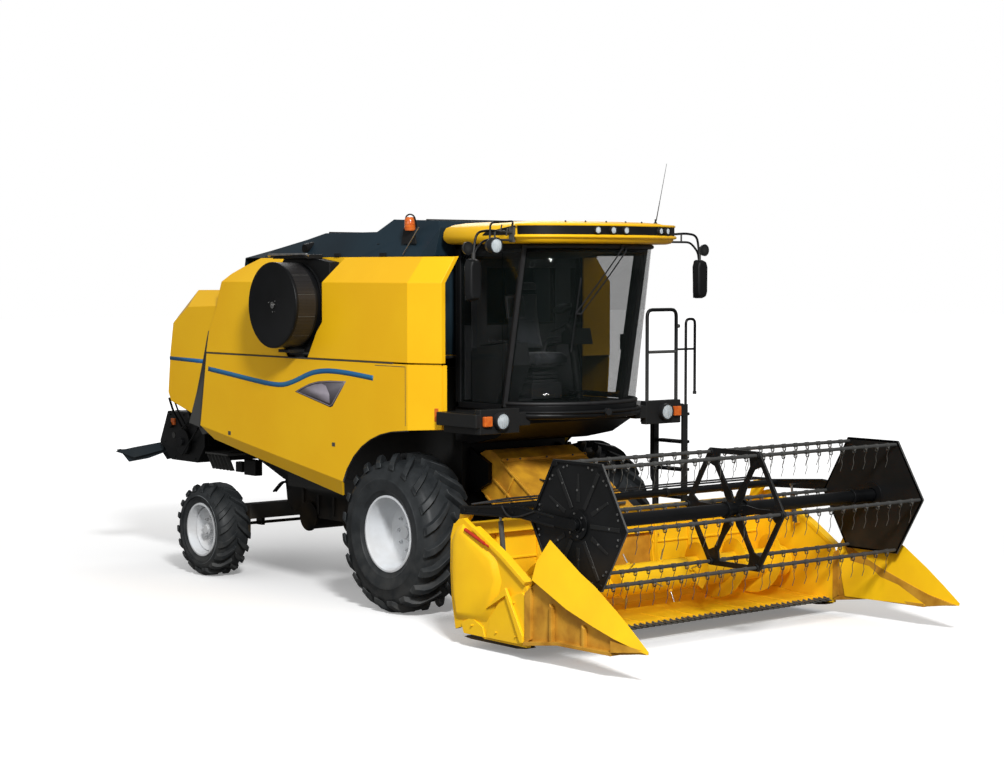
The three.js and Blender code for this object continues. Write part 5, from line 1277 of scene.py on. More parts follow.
def wipers():
    bm = bmesh.new()
    x0, y0 = bowAt(0.1, 3.64, 0.03)
    rod(bm, (x0, y0 + 0.04, 3.66), (x0, y0 - 0.01, 3.66), 0.022, 16)
    rod(bm, (x0 + 0.06, y0 + 0.04, 3.655), (x0 + 0.06, y0, 3.655), 0.018, 16)
    ends = []
    for offset in (0.0, 0.06):
        path = []
        for k in range(7):
            share = k / 6
            turn = 0.1 - 0.62 * share
            z = 3.64 - 0.62 * share
            x, y = bowAt(turn, z, 0.03)
            path.append((x + offset, y, z - offset * 0.2))
        tube(bm, path, 0.0075, 6, 0.02)
        ends.append(path[-1])
    rod(bm, ends[0], ends[1], 0.01, 8)
    blade = []
    for k in range(9):
        z = 3.36 - 0.72 * k / 8
        x, y = bowAt(-0.5 - 0.06 * k / 8, z, 0.016)
        blade.append((x + 0.02, y, z))
    tube(bm, blade, 0.008, 6, 0.02)
    piece("wiper", bm, blackPlastic)


wipers()


def ladder():
    bm = bmesh.new()
    x0 = 1.3803
    for y in (-1.315, -0.885):
        block(bm, (x0, y, 0.45), (1.45, y + 0.03, 2.05))
    for z in (0.48, 0.77, 1.06, 1.35, 1.64, 1.93):
        for x in (1.386, 1.424, 1.462, 1.494):
            block(bm, (x, -1.29, z), (x + 0.006, -0.88, z + 0.03))
        block(bm, (1.386, -1.29, z), (1.5, -1.284, z + 0.03))
        block(bm, (1.386, -0.886, z), (1.5, -0.88, z + 0.03))
        for k in range(9):
            y = -1.25 + 0.043 * k
            block(bm, (1.388, y, z + 0.006), (1.498, y + 0.005, z + 0.026))
    tube(bm, [(1.43, -1.3, 2.04), (1.43, -1.3, 2.93), (1.56, -1.3, 2.93), (1.56, -1.3, 2.17)], 0.0145, 10, 0.05)
    pin(bm, 1.43, 1.56, -1.3, 2.62, 0.011, 8)
    pin(bm, 1.29, 1.43, -1.3, 2.62, 0.011, 8)
    rod(bm, (1.56, -1.3, 2.18), (1.56, -1.3, 2.15), 0.02, 10)
    tube(bm, [(1.4, -0.87, 1.2), (1.42, -0.8, 1.25), (1.42, -0.8, 1.95), (1.4, -0.86, 2.03)], 0.014, 8)
    piece("ladder", bm, blackEnamel, "ladder", bevel=0.0015)


ladder()
print("mirrors, wiper and ladder made")


# feeder house: sloping yellow chute with pressed ribs, hoses and its drive
def feederHouse():
    run, fall, half, foot = 1.25, 0.806, 0.23, -1.7497
    length = hypot(run, fall)
    down = Vector((0, -run / length, -fall / length))
    up = Vector((0, -fall / length, run / length))
    pivot = Vector((0, -0.5, 1.4))

    def flat(point):
        return point.y, point.z

    def cornerAt(sign, y):
        start = pivot + up * half * sign
        return (y, start.z + (y - start.y) * (down.z / down.y))

    def rib(a, b, across, x, proud):
        slab(bm, [flat(a + across), flat(b + across), flat(b - across), flat(a - across)], x, proud)

    bm = bmesh.new()
    arc = []
    for k in range(7):
        angle = atan2(up.z, up.y) - pi + pi * (k + 1) / 8
        arc.append((pivot.y + half * cos(angle), pivot.z + half * sin(angle)))
    outline = [cornerAt(-1, foot), flat(pivot - up * half)] + arc + [flat(pivot + up * half), cornerAt(1, foot)]
    slab(bm, outline, -0.55, 0.55)
    # pressed ribs down the sides, a lip along the top and a cross flange at the header
    for side in (-1, 1):
        for off in (0.215, -0.215, 0.0):
            rib(pivot + up * off + down * 0.1, pivot + up * off + down * (length - 0.06), up * 0.012,
                side * 0.55, side * 0.568)
        for off in (0.35, 0.75, 1.15):
            rib(pivot + down * off + up * 0.2, pivot + down * off - up * 0.2, down * 0.012, side * 0.55,
                side * 0.566)
    for offset in (0.1, 1.08):
        p = pivot + down * offset + up * half
        q = p + up * 0.03
        slab(bm, [flat(p), flat(q), flat(q + down * 0.02), flat(p + down * 0.035)], -0.56, 0.56)
    facesOut(bm)
    lug = [(-1.3, 0.7), (-1.5, 0.6), (-1.47, 0.45), (-1.435, 0.425), (-1.365, 0.425), (-1.33, 0.45)]
    for side in (-1, 1):
        slab(bm, lug, side * 0.35, side * 0.38)
    # the stained enamel here is partly painted shade for the shadow under the cab
    piece("feederHouse", bm, stainedAndShadedEnamel, "feeder_house", body="header", bevel=0.006)
    bm = bmesh.new()
    for x in (-0.3, 0.3):
        p = pivot + down * 0.55 + up * 0.232
        tube(bm, [(x, *flat(q)) for q in (p + down * 0.1, p + up * 0.05, p - down * 0.1)], 0.01, 8)
    p = pivot + down * 0.95 + up * 0.262
    tube(bm, [(-0.45, p.y, p.z), (0.45, p.y, p.z)], 0.016, 8)
    for x in (-0.52, -0.35, 0.0, 0.35, 0.52):
        p = pivot + down * 0.14 + up * 0.26
        rod(bm, (x, *flat(p)), (x, *flat(p + up * 0.012)), 0.011, 6)
    piece("feederFittings", bm, blackEnamel, body="header")
    bm = bmesh.new()
    for shift in (0.0, 0.035, 0.07):
        path = [pivot + down * t + up * (0.255 + 0.012 * sin(7 * t + 20 * shift)) for t in (0.14, 0.4, 0.7, 1.0,
            1.15)]
        tube(bm, [(0.585 + shift * 0.4, p.y, p.z - 0.28) for p in path], 0.0115, 8, 0.05)
    piece("feederHoses", bm, hoseRubber, body="header")


feederHouse()

# header: folded table, end shields, crop dividers, knife and auger
table = {"half": 1.98, "fingerPitch": 0.0762, "fingers": 51}


def headerTable():
    bm = bmesh.new()
    half = table["half"]
    mouth = 0.5
    sheet = [(-2.79, 0.132), (-2.3, 0.132), (-1.95, 0.172), (-1.8, 0.32), (-1.75, 0.6), (-1.75, 1.11),
        (-1.87, 1.11), (-1.87, 1.0), (-1.79, 0.985), (-1.79, 0.61), (-1.838, 0.345), (-1.97, 0.205),
        (-2.3, 0.162), (-2.79, 0.158)]
    for low, high in ((-half - 0.005, -mouth), (mouth, half + 0.005)):
        slab(bm, sheet, low, high)
    slab(bm, sheet[:3] + [(-1.8, 0.32), (-1.8, 0.36), (-1.838, 0.36)] + sheet[-3:], -mouth, mouth)
    slab(bm, [(-1.75, 0.84), (-1.75, 1.11), (-1.87, 1.11), (-1.87, 1.0), (-1.79, 0.985), (-1.79, 0.84)], -mouth,
        mouth)
    for x in (-1.5, -1.0, -0.53, 0.53, 1.0, 1.5):
        slab(bm, [(-1.79, 0.36), (-1.79, 1.0), (-1.815, 1.0), (-1.815, 0.42)], x - 0.02, x + 0.02)
    tube(bm, [(-half, -1.79, 0.74), (-0.5, -1.79, 0.74)], 0.016, 6)
    tube(bm, [(0.5, -1.79, 0.74), (half, -1.79, 0.74)], 0.016, 6)
    for side in (-1, 1):
        x0, x1 = sorted((side * 1.9, side * 1.942))
        slab(bm, [(-1.87, 1.1), (-1.76, 1.1), (-1.82, 1.27), (-1.93, 1.275), (-1.95, 1.2)], x0, x1)
        pin(bm, side * 1.94, side * 1.984, -1.89, 1.24, 0.02, 16)
        pin(bm, side * 1.884, side * 1.985, -2.23, 0.48, 0.03, 16)
    # crop strips on the floor behind the knife
    for k in range(12):
        x = -1.82 + 0.331 * k
        block(bm, (x - 0.006, -2.78, 0.157), (x + 0.006, -2.34, 0.166))
    block(bm, (-half, -2.792, 0.125), (half, -2.74, 0.163))
    piece("headerTable", bm, headerEnamel, "header_table", body="header", bevel=0.004)
    bm = bmesh.new()
    outline = [(-1.83, 0.15), (-1.775, 0.42), (-1.755, 0.7), (-1.762, 1.0), (-1.8, 1.1), (-1.88, 1.165),
        (-1.95, 1.18), (-2.13, 1.08), (-2.51, 0.88), (-2.82, 0.69), (-2.85, 0.62), (-2.85, 0.112),
        (-2.25, 0.112), (-1.98, 0.2)]
    slab(bm, outline, 1.98, 2.026)
    # the pressed cover: a bulged panel over the drive, with its fold towards the skid
    face = bm.faces.new([bm.verts.new((2.0265, y, z)) for y, z in [(-1.86, 0.24), (-1.8, 0.45), (-1.785, 0.72),
        (-1.8, 1.0), (-1.87, 1.1), (-1.95, 1.125), (-2.12, 1.03), (-2.42, 0.87), (-2.5, 0.66), (-2.4, 0.4),
        (-2.28, 0.27)]])
    made = bmesh.ops.extrude_face_region(bm, geom=[face])["geom"]
    verts, cap = only(made, BMVert), only(made, BMFace)
    bmesh.ops.translate(bm, verts=verts, vec=(0.03, 0, 0))
    middle = sum((v.co for v in verts), Vector()) / len(verts)
    bmesh.ops.scale(bm, verts=verts, vec=(1, 0.9, 0.9), space=Matrix.Translation(-middle))
    bmesh.ops.inset_region(bm, faces=cap, thickness=0.035, depth=0.0)
    bmesh.ops.translate(bm, verts=list({v for f in cap for v in f.verts}), vec=(0.013, 0, 0))
    bmesh.ops.delete(bm, geom=[face], context="FACES_ONLY")
    slab(bm, [(-2.3, 0.135), (-2.36, 0.33), (-2.5, 0.5), (-2.8, 0.6), (-2.84, 0.57), (-2.84, 0.135)], 2.024,
        2.046)
    slab(bm, [(-1.97, 0.13), (-1.93, 0.22), (-2.08, 0.29), (-2.24, 0.22), (-2.27, 0.13)], 2.024, 2.04)
    # the rail that runs down the front of the shield, and the skid under it
    slab(bm, [(-2.1, 1.095), (-2.13, 1.12), (-2.53, 0.91), (-2.86, 0.7), (-2.84, 0.67), (-2.51, 0.875)], 1.97,
        2.06)
    slab(bm, [(-2.33, 0.4), (-2.355, 0.43), (-2.6, 0.62), (-2.84, 0.22), (-2.84, 0.16), (-2.8, 0.16),
        (-2.6, 0.55)], 2.046, 2.075)
    for y, z in ((-1.9, 0.36), (-1.86, 0.9), (-2.2, 0.92), (-2.42, 0.72), (-2.7, 0.5), (-2.45, 0.2),
            (-2.72, 0.2), (-2.1, 0.22)):
        pin(bm, 2.02, 2.062, y, z, 0.009, 6)
    pin(bm, 1.887, 1.985, -2.39, 0.88, 0.012, 12)
    bothSides(bm)
    facesOut(bm)
    piece("endShields", bm, headerEnamel, body="header", bevel=0.007, sharp=28)
    bm = bmesh.new()
    tube(bm, [(2.062, -2.02, 1.1), (2.062, -2.3, 1.0)], 0.016, 10)
    piece("shieldLatchLeft", bm, redCasting, body="header")
    bm = bmesh.new()
    tube(bm, [(-2.062, -2.02, 1.085), (-2.062, -2.3, 0.985)], 0.017, 12)
    rod(bm, (-2.062, -2.3, 0.985), (-2.062, -2.36, 0.963), 0.01, 10)
    piece("shieldCylinder", bm, redCasting, body="header")
    bm = bmesh.new()
    for side in (-1, 1):
        tube(bm, [(side * 2.05, -1.92, 0.9), (side * 2.052, -2.04, 0.8), (side * 2.053, -2.22, 0.7),
            (side * 2.052, -2.34, 0.66)], 0.007, 6)
        slab(bm, [(-1.95, 0.095), (-2.0, 0.112), (-2.8, 0.112), (-2.83, 0.1), (-2.7, 0.085), (-2.05, 0.085)],
            side * 1.9, side * 2.02)
    piece("shieldTrimAndSkids", bm, blackEnamel, body="header", bevel=0.002)


headerTable()


def divider(side, word):
    bm = bmesh.new()
    ridge = [(-3.15, 1.1), (-3.55, 0.85), (-3.73, 0.76), (-4.0, 0.585), (-4.2, 0.44), (-4.395, 0.29)]
    outEdge = [(-3.04, 0.9), (-3.0, 0.74), (-3.46, 0.54), (-3.78, 0.43), (-4.04, 0.35), (-4.385, 0.265)]
    # outer cheek: wide at the back, drawn in to the tip
    outX = [2.085, 2.102, 2.106, 2.09, 2.07, 2.028]
    mid = 2.02
    for i in range(5):
        facet(bm, [(mid, *ridge[i]), (mid, *ridge[i + 1]), (outX[i + 1], *outEdge[i + 1]),
            (outX[i], *outEdge[i])])
    innerFoot = [(-3.02, 0.2), (-3.4, 0.205), (-3.73, 0.215), (-4.0, 0.225), (-4.2, 0.245), (-4.385, 0.265)]
    inX = [1.962, 1.965, 1.972, 1.984, 1.996, 2.014]
    for i in range(5):
        facet(bm, [(mid, *ridge[i]), (inX[i], *innerFoot[i]), (inX[i + 1], *innerFoot[i + 1]),
            (mid, *ridge[i + 1])])
    facet(bm, [(mid, *ridge[0]), (2.085, *outEdge[0]), (2.03, -2.9, 0.66), (1.975, -2.9, 0.66)])
    facet(bm, [(mid, *ridge[0]), (1.975, -2.9, 0.66), (1.962, *innerFoot[0])])
    faceAwayFrom(bm, (2.02, -3.5, 0.35))
    weld(bm)
    piece("dividerHood_" + word, bm, headerEnamel, "divider_" + word, body="header", bevel=0.006, sharp=14,
        wall=0.005, side=side)
    bm = bmesh.new()
    slab(bm, [(-2.8503, 0.62), (-3.0, 0.72), (-3.46, 0.525), (-4.04, 0.335), (-4.36, 0.27), (-4.0, 0.212),
        (-3.31, 0.205), (-2.8503, 0.14)], 1.985, 2.03)
    for y, z in ((-3.2, 0.55), (-3.62, 0.42)):
        slab(bm, [(y, 0.21), (y - 0.03, 0.21), (y - 0.03, z - 0.03), (y, z)], 2.03, 2.075)
    slab(bm, [(-2.86, 0.14), (-2.86, 0.175), (-3.31, 0.235), (-4.0, 0.24), (-4.0, 0.208), (-3.31, 0.203)],
        1.975, 2.085)
    facet(bm, [(2.09, -4.0, 0.24), (2.02, -4.395, 0.278), (1.985, -4.0, 0.24)])
    facet(bm, [(2.09, -4.0, 0.24), (2.09, -4.0, 0.34), (2.02, -4.395, 0.285)])
    slab(bm, [(-2.8503, 0.6), (-2.93, 0.66), (-2.93, 0.2), (-2.8503, 0.15)], 1.97, 2.06)
    facesOut(bm)
    # the stained enamel here is partly painted shade for the recess under the divider hood
    piece("dividerFrame_" + word, bm, stainedAndShadedEnamel, body="header", bevel=0.003, side=side)


for word, side in (("left", 1), ("right", -1)):
    divider(side, word)


def knife():
    bm = bmesh.new()
    pitch, count = table["fingerPitch"], table["fingers"]
    block(bm, (-1.97, -2.815, 0.137), (1.97, -2.7903, 0.158))
    finger = rod(bm, (0, -2.8, 0.15), (0, -2.904, 0.148), 0.021, 6, 0.004)
    finger += rod(bm, (0, -2.795, 0.172), (0, -2.862, 0.162), 0.01, 5, 0.004)
    moves = [Matrix.Translation((pitch * k, 0, 0)) for k in range(-count // 2 + 1, count // 2 + 1) if k != 0]
    copies(bm, finger, moves)
    piece("knifeGuards", bm, castIron, "knife_bar", body="header")
    bm = bmesh.new()
    blade = slab(bm, [(-0.036, -2.8), (0.036, -2.8), (0.008, -2.868), (-0.008, -2.868)], 0.1585, 0.1615, "z")
    copies(bm, blade, [Matrix.Translation((pitch * (k + 0.5), 0, 0)) for k in range(-count // 2 + 1,
        count // 2)])
    for k in range(-6, 7):
        block(bm, (k * 0.3 - 0.02, -2.83, 0.161), (k * 0.3 + 0.02, -2.775, 0.168))
    piece("knifeSections", bm, darkSteel, body="header")


knife()

auger = {"y": -2.23, "z": 0.48, "tube": 0.15, "flight": 0.285, "pitch": 0.52, "steps": 28}


def headerAuger():
    bm = bmesh.new()
    y, z = auger["y"], auger["z"]
    turned(bm, [(0.0301, -1.896), (auger["tube"], -1.896), (auger["tube"], 1.896), (0.0301, 1.896)], (0, y, z),
        40)
    for x in (-1.86, -0.5, 0.5, 1.86):
        turned(bm, [(0.149, x - 0.01), (0.158, x - 0.01), (0.158, x + 0.01), (0.149, x + 0.01)], (0, y, z), 40)
    facesOut(bm)
    for k in range(10):
        angle, x = 2.4 * k, -0.45 + 0.1 * k
        base = (x, y + 0.14 * cos(angle), z + 0.14 * sin(angle))
        rod(bm, base, (x, y + 0.172 * cos(angle), z + 0.172 * sin(angle)), 0.022, 12)
    piece("augerTube", bm, headerEnamel, "header_auger", body="crop_auger", bevel=0.002)
    bm = bmesh.new()
    for start, end in ((-1.86, -0.52), (1.85, 0.51)):
        low = bm.verts.new((start, y + 0.145, z))
        high = bm.verts.new((start, y + auger["flight"], z))
        edge = bm.edges.new((low, high))
        turns = abs(end - start) / auger["pitch"]
        steps = int(turns * auger["steps"])
        bmesh.ops.spin(bm, geom=[low, high, edge], cent=(0, y, z), axis=(1, 0, 0), angle=turns * 2 * pi,
            dvec=((end - start) / steps, 0, 0), steps=steps)
    piece("augerFlights", bm, headerEnamel, body="crop_auger", wall=0.005, bevel=0.0015, sharp=35)
    bm = bmesh.new()
    for k in range(10):
        angle, x = 2.4 * k, -0.45 + 0.1 * k
        rod(bm, (x, y + 0.15 * cos(angle), z + 0.15 * sin(angle)),
            (x, y + 0.277 * cos(angle), z + 0.277 * sin(angle)), 0.008, 10)
    piece("augerFingers", bm, brightSteel, body="crop_auger")


headerAuger()
print("header made")

# under the body: auger troughs under the cleaning shoe, hoses and small boxes
def underbody():
    bm = bmesh.new()
    for y, z, radius in ((1.9, 0.69, 0.13), (2.72, 0.67, 0.15)):
        pin(bm, -0.535, 0.535, y, z, radius, 28)
        for x in (-0.54, 0.54):
            pin(bm, x - 0.012, x + 0.012, y, z, radius + 0.018, 28)
    piece("shoeTroughs", bm, blackEnamel, bevel=0.003)
    bm = bmesh.new()
    for y in (1.95, 2.25, 2.55, 2.85):
        for x in (-0.525, 0.525):
            block(bm, (x - 0.012, y - 0.02, 0.7), (x + 0.012, y + 0.02, 1.2))
    for x in (-0.62, 0.6):
        block(bm, (x - 0.05, 3.62, 1.06), (x + 0.05, 3.86, 1.24))
        block(bm, (x - 0.04, 3.92, 1.08), (x + 0.04, 4.06, 1.2))
    piece("shoeRibsAndBoxes", bm, blackEnamel, bevel=0.006)
    bm = bmesh.new()
    for side in (-1, 1):
        for k, drop in enumerate((0.05, 0.11)):
            x = side * (0.56 + 0.03 * k)
            tube(bm, [(x, 1.5, 1.22), (x, 1.9, 1.16 - drop), (x, 2.6, 1.18 - drop), (x, 3.2, 1.02),
                (x, 3.36, 0.9)], 0.013, 8)
    piece("axleHoses", bm, hoseRubber)


underbody()

# reel: closed end plates, an open six-armed spider, a tube and six bars of spring tines
reel = {"y": -3.4, "z": 1.245, "corner": 0.59, "tube": 0.06, "disc": 1.92, "plate": 0.632, "tines": 23,
    "tinePitch": 0.162, "tineDrop": 0.215, "wire": 0.0032, "coil": 0.019}


def cornerOf(k, radius=None, turn=0.0):
    angle = pi / 3 * k + turn
    r = reel["corner"] if radius is None else radius
    return reel["y"] + r * cos(angle), reel["z"] + r * sin(angle)


def reelBody():
    y, z = reel["y"], reel["z"]
    bm, bolts = bmesh.new(), bmesh.new()
    pin(bm, -1.92, 1.92, y, z, reel["tube"], 32)
    for x in (-1.6, -0.12, 0.12, 1.6):
        pin(bm, x - 0.015, x + 0.015, y, z, 0.078, 32)
    pin(bm, -1.98, 1.98, y, z, 0.03, 16)
    for side in (-1, 1):
        inside, out = side * 1.9095, side * 1.9315
        slab(bm, [cornerOf(k, reel["plate"]) for k in range(6)], inside, side * 1.9155)
        # the rim is folded outwards, and each corner carries a bar's bearing
        for k in range(6):
            a, b = cornerOf(k, reel["plate"]), cornerOf(k + 1, reel["plate"])
            c, d = cornerOf(k + 1, 0.605), cornerOf(k, 0.605)
            slab(bm, [a, b, c, d], inside, out)
            cy, cz = cornerOf(k)
            pin(bm, side * 1.914, side * 1.932, cy, cz, 0.028, 12)
            for radius, turn in ((0.4, 0.0), (0.52, 0.16), (0.52, -0.16), (0.3, 0.5), (0.52, 0.26),
                    (0.52, -0.26)):
                by, bz = cornerOf(k, radius, turn)
                pin(bolts, side * 1.914, side * 1.9265, by, bz, 0.011, 6)
            # a pressed channel from the hub to the corner, and a shallower one across
            p, q = cornerOf(k, 0.16, 0.12), cornerOf(k, 0.53, 0.035)
            r, s = cornerOf(k, 0.53, -0.035), cornerOf(k, 0.16, -0.12)
            slab(bm, [p, q, r, s], side * 1.915, side * 1.9255)
            slab(bm, [cornerOf(k, 0.2, 0.42), cornerOf(k, 0.44, 0.5), cornerOf(k, 0.44, 0.548),
                cornerOf(k, 0.2, 0.626)], side * 1.915, side * 1.9215)
        pin(bm, side * 1.9, side * 1.936, y, z, 0.13, 32)
        pin(bm, side * 1.9, side * 1.945, y, z, 0.07, 24)
        for k in range(6):
            by, bz = cornerOf(k, 0.1, 0.3)
            pin(bolts, side * 1.93, side * 1.948, by, bz, 0.01, 6)
    # the middle spider
    for k in range(6):
        a, b, c, d = cornerOf(k, reel["plate"]), cornerOf(k + 1, reel["plate"]), cornerOf(k + 1,
            0.575), cornerOf(k, 0.575)
        slab(bm, [a, b, c, d], -0.012, 0.012)
        slab(bm, [cornerOf(k, 0.07, 0.55), cornerOf(k, 0.16, 0.3), cornerOf(k, 0.3, 0.085),
            cornerOf(k, 0.58, 0.055), cornerOf(k, 0.58, -0.055), cornerOf(k, 0.3, -0.085),
            cornerOf(k, 0.16, -0.3), cornerOf(k, 0.07, -0.55)], -0.011, 0.011)
        for hand in (-1, 1):
            slab(bm, [cornerOf(k, 0.6, hand * 0.02), cornerOf(k, 0.45, hand * 0.06),
                cornerOf(k, 0.565, hand * 0.2)], -0.0105, 0.0105)
        by, bz = cornerOf(k)
        pin(bm, -0.03, 0.03, by, bz, 0.031, 12)
        by, bz = cornerOf(k, 0.11, 0.0)
        pin(bm, -0.02, 0.02, by, bz, 0.01, 6)
    piece("reelBolts", bolts, brightSteel, body="reel_rotor", bevel=0.001)
    piece("reelBody", bm, blackEnamel, "reel", body="reel_rotor", bevel=0.004, sharp=35)


reelBody()


def tineBar(k):
    y, z = cornerOf(k)
    end = reel["disc"] - 0.0125
    bm = bmesh.new()
    pin(bm, -end, end, y, z, 0.017, 12)
    count = reel["tines"]
    spots = [reel["tinePitch"] * (i - (count - 1) / 2) for i in range(count)]
    spots = [x if abs(x) > 0.05 else 0.06 for x in spots]
    clamp = pin(bm, -0.022, 0.022, y, z, 0.0215, 10)
    copies(bm, clamp, [Matrix.Translation((x, 0, 0)) for x in spots])
    bmesh.ops.delete(bm, geom=clamp, context="VERTS")
    piece("tineTube_%d" % (k + 1), bm, blackEnamel, "tine_bar_%d" % (k + 1), body="tine_bar_%d_body" % (k + 1))
    bm = bmesh.new()
    coilR, drop = reel["coil"], reel["tineDrop"]
    centreZ = z - 0.03
    loop = []
    for i in range(17):
        angle = radians(100 + 47 * i)
        loop.append((0.0035 * i * 0.4 - 0.012, y - 0.008 + coilR * cos(angle), centreZ + coilR * sin(angle)))
    last = loop[-1]
    path = [(-0.012, y, z - 0.008)] + loop + [(last[0], y + 0.012, z - 0.1), (last[0], y + 0.005, z - 0.15),
        (last[0], y + 0.03, z - drop)]
    tube(bm, path, reel["wire"], 5, 0.004)
    wire = list(bm.verts)
    copies(bm, wire, [Matrix.Translation((x, 0, 0)) for x in spots])
    bmesh.ops.delete(bm, geom=wire, context="VERTS")
    piece("springTines_%d" % (k + 1), bm, darkSteel, body="tine_bar_%d_body" % (k + 1))


for k in range(6):
    tineBar(k)


def reelArms():
    bm = bmesh.new()
    for side in (-1, 1):
        x0, x1 = sorted((side * 1.952, side * 1.978))
        slab(bm, [(-1.84, 1.205), (-1.84, 1.28), (-2.7, 1.345), (-3.16, 1.305), (-3.4, 1.29), (-3.44, 1.27),
            (-3.45, 1.235), (-3.43, 1.205), (-3.4, 1.198), (-2.72, 1.24)], x0, x1)
        slab(bm, [(-1.84, 1.262), (-1.84, 1.28), (-2.7, 1.345), (-3.15, 1.305), (-3.15, 1.288), (-2.7, 1.327)],
            side * 1.944, side * 1.985)
        slab(bm, [(-1.84, 1.205), (-1.84, 1.222), (-2.72, 1.258), (-3.15, 1.222), (-3.15, 1.203),
            (-2.72, 1.24)], side * 1.944, side * 1.985)
        pin(bm, side * 1.945, side * 1.987, -3.4, 1.245, 0.05, 20)
        pin(bm, side * 1.942, side * 1.99, -1.89, 1.24, 0.034, 16)
        for y in (-2.1, -2.6, -2.95):
            z = between([-3.4, -2.7, -1.84], [1.25, 1.29, 1.245], y)
            pin(bm, side * 1.97, side * 1.988, y, z, 0.011, 6)
    pin(bm, -1.955, 1.955, -2.08, 1.262, 0.038, 24)
    for x in (-1.2, -0.4, 0.4, 1.2):
        pin(bm, x - 0.02, x + 0.02, -2.08, 1.262, 0.046, 16)
    piece("reelArms", bm, blackEnamel, "reel_arms", body="reel_frame", bevel=0.003)
    bm = bmesh.new()
    for shift in (0.0, 0.022):
        tube(bm, [(-1.93, -1.95, 1.3), (-1.6, -2.05, 1.315 + shift), (-0.6, -2.07, 1.318 + shift),
            (0.6, -2.07, 1.318 + shift), (1.6, -2.05, 1.315 + shift), (1.93, -2.0, 1.3)], 0.009, 8, 0.1)
    tube(bm, [(-1.985, -2.45, 1.33), (-2.0, -2.52, 1.27), (-2.0, -2.6, 1.24), (-2.0, -2.75, 1.27),
        (-1.985, -2.9, 1.32)], 0.008, 8)
    piece("reelHoses", bm, hoseRubber, body="reel_frame")


reelArms()
print("reel made")


# straw chopper and tailboard
def chopper():
    bm = bmesh.new()
    slab(bm, [(3.9403, 1.4), (3.9403, 1.79), (4.74, 1.78), (4.885, 1.41), (4.66, 1.21), (4.1, 1.21)], -1.1, 1.1)
    for side in (-1, 1):
        x0, x1 = sorted((side * 1.1, side * 1.15))
        slab(bm, [(3.9403, 1.4), (3.9403, 1.79), (4.76, 1.78), (4.94, 1.42), (4.92, 1.36), (4.86, 1.36),
            (4.68, 1.21), (4.1, 1.21)], x0, x1)
        pin(bm, side * 1.15, side * 1.2, 4.36, 1.44, 0.15, 32)
        pin(bm, side * 1.15, side * 1.23, 4.36, 1.44, 0.045, 20)
        pin(bm, side * 1.15, side * 1.2, 4.05, 1.68, 0.07, 24)
        pin(bm, side * 1.15, side * 1.19, 4.66, 1.62, 0.035, 16)
        for y, z in ((3.99, 1.75), (4.4, 1.75), (4.7, 1.74), (4.82, 1.42), (4.6, 1.25), (4.15, 1.25)):
            pin(bm, side * 1.15, side * 1.162, y, z, 0.011, 6)
        tube(bm, [(side * 1.2, 4.36, 1.6), (side * 1.19, 4.08, 1.75)], 0.012, 6)
        tube(bm, [(side * 1.2, 4.36, 1.29), (side * 1.19, 4.02, 1.61)], 0.012, 6)
        tube(bm, [(side * 1.17, 4.39, 1.59), (side * 1.3, 4.38, 1.8), (side * 1.36, 4.37, 1.96)], 0.014, 8)
        tube(bm, [(side * 1.17, 4.28, 1.59), (side * 1.28, 4.3, 1.8), (side * 1.34, 4.3, 1.95)], 0.011, 8)
    for k in range(15):
        x = -1.05 + 0.15 * k
        slab(bm, [(4.64, 1.79), (4.75, 1.785), (4.8, 1.66), (4.74, 1.66)], x - 0.006, x + 0.006)
    block(bm, (-1.0, 3.62, 1.31), (1.0, 3.66, 1.35))
    piece("strawChopper", bm, blackEnamel, "straw_chopper", bevel=0.004)
    bm = bmesh.new()
    for k in range(6):
        y = 3.56 + 0.075 * k
        slab(bm, [(y, 1.33), (y + 0.012, 1.335), (y - 0.11, 1.165), (y - 0.122, 1.16)], -1.12, -1.06)
        slab(bm, [(y, 1.33), (y + 0.012, 1.335), (y - 0.11, 1.165), (y - 0.122, 1.16)], 1.06, 1.12)
    block(bm, (-1.12, 3.5, 1.325), (1.12, 3.98, 1.345))
    for side in (-1, 1):
        pin(bm, side * 1.153, side * 1.158, 4.62, 1.5, 0.035, 20)
    piece("strawComb", bm, blackEnamel)
    bm = bmesh.new()
    for side in (-1, 1):
        block(bm, (side * 1.16 - 0.012, 4.58, 1.62), (side * 1.16 + 0.012, 4.66, 1.7))
    piece("tailIndicator", bm, orangeLens, bevel=0.006)


chopper()


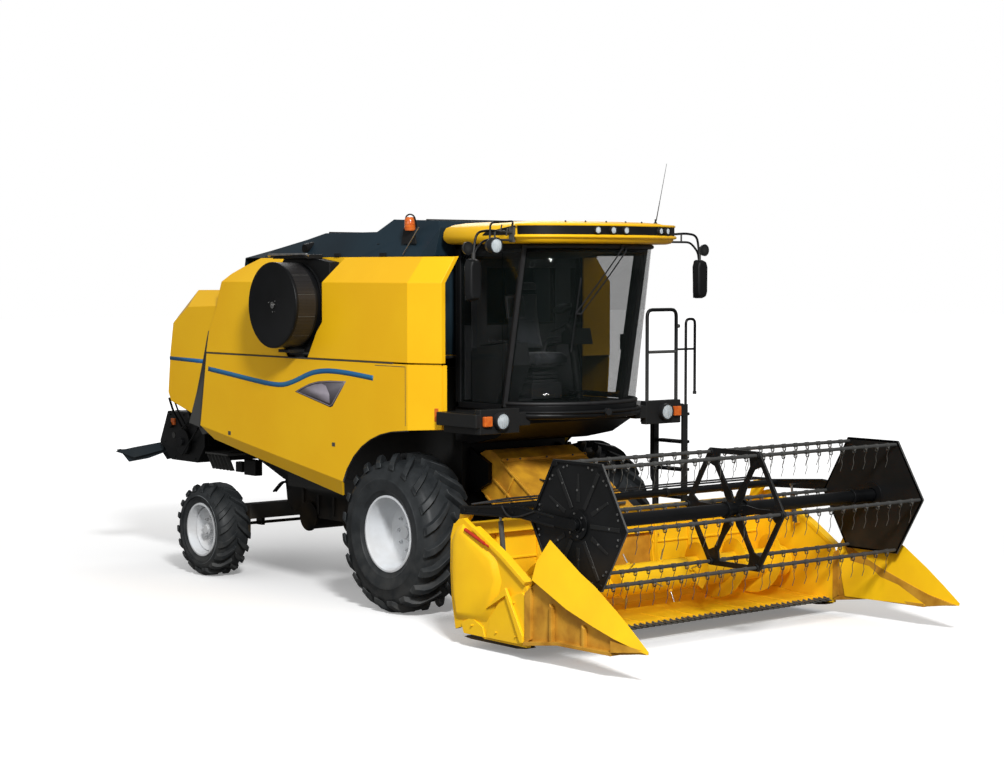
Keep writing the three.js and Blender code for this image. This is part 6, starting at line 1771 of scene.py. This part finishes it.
def spreaderBoard():
    bm = bmesh.new()
    front, rear, f, r = (4.92, 1.405), (5.56, 1.262), 1.1, 1.4
    facet(bm, [(-f, *front), (f, *front), (r * 0.93, 5.3, 1.322), (-r * 0.93, 5.3, 1.322)])
    facet(bm, [(-r * 0.93, 5.3, 1.322), (r * 0.93, 5.3, 1.322), (r, *rear), (-r, *rear)])
    for s in (-1, 1):
        facet(bm, [(s * f, *front), (s * r * 0.93, 5.3, 1.322), (s * (r * 0.93 + 0.01), 5.27, 1.2),
            (s * f, 4.96, 1.3)])
        facet(bm, [(s * r * 0.93, 5.3, 1.322), (s * r, *rear), (s * (r * 0.93 + 0.01), 5.27, 1.2)])
    weld(bm)
    facesOut(bm)
    for face in bm.faces:
        if abs(face.normal.z) > 0.8 and face.normal.z < 0:
            bmesh.ops.reverse_faces(bm, faces=bm.faces)
            break
    piece("spreaderBoard", bm, slateEnamel, "tailboard", body="spreader_board", wall=0.008, bevel=0.003,
        sharp=14)
    bm = bmesh.new()
    pin(bm, -1.095, 1.095, 4.915, 1.405, 0.015, 12)
    for share in (-1, -0.6, -0.2, 0.2, 0.6, 1):
        a, b = share * (f - 0.06), share * (r - 0.03)
        m = (a + b) / 2
        for v in slab(bm, [(4.955, 1.385), (5.23, 1.32), (5.5, 1.268), (5.4, 1.14), (5.18, 1.19),
                (4.955, 1.285)], -0.004, 0.004):
            v.co.x += between([4.955, 5.23, 5.5], [a, m, b], v.co.y)
    for k in range(5):
        x = -1.0 + 0.5 * k
        rod(bm, (x, 5.28, 1.325), (x, 5.28, 1.34), 0.012, 6)
    tube(bm, [(-1.36, 5.5, 1.285), (-1.4, 5.545, 1.275), (1.4, 5.545, 1.275), (1.36, 5.5, 1.285)], 0.008, 6)
    piece("spreaderFins", bm, slateEnamel, body="spreader_board", bevel=0.001)


spreaderBoard()
print("chopper and tailboard made")

# frame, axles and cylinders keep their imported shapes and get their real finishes
repaint(blackEnamel, "threshing_body", "rear_axle_beam", "lift_cylinder_barrels", "reel_cylinder_barrel_left",
    "reel_cylinder_barrel_right")
repaint(castIron, "engine_block", "front_axle", "rear_knuckle_left", "rear_knuckle_right")
repaint(brightSteel, "lift_cylinder_rods", "reel_cylinder_rod_left", "reel_cylinder_rod_right")
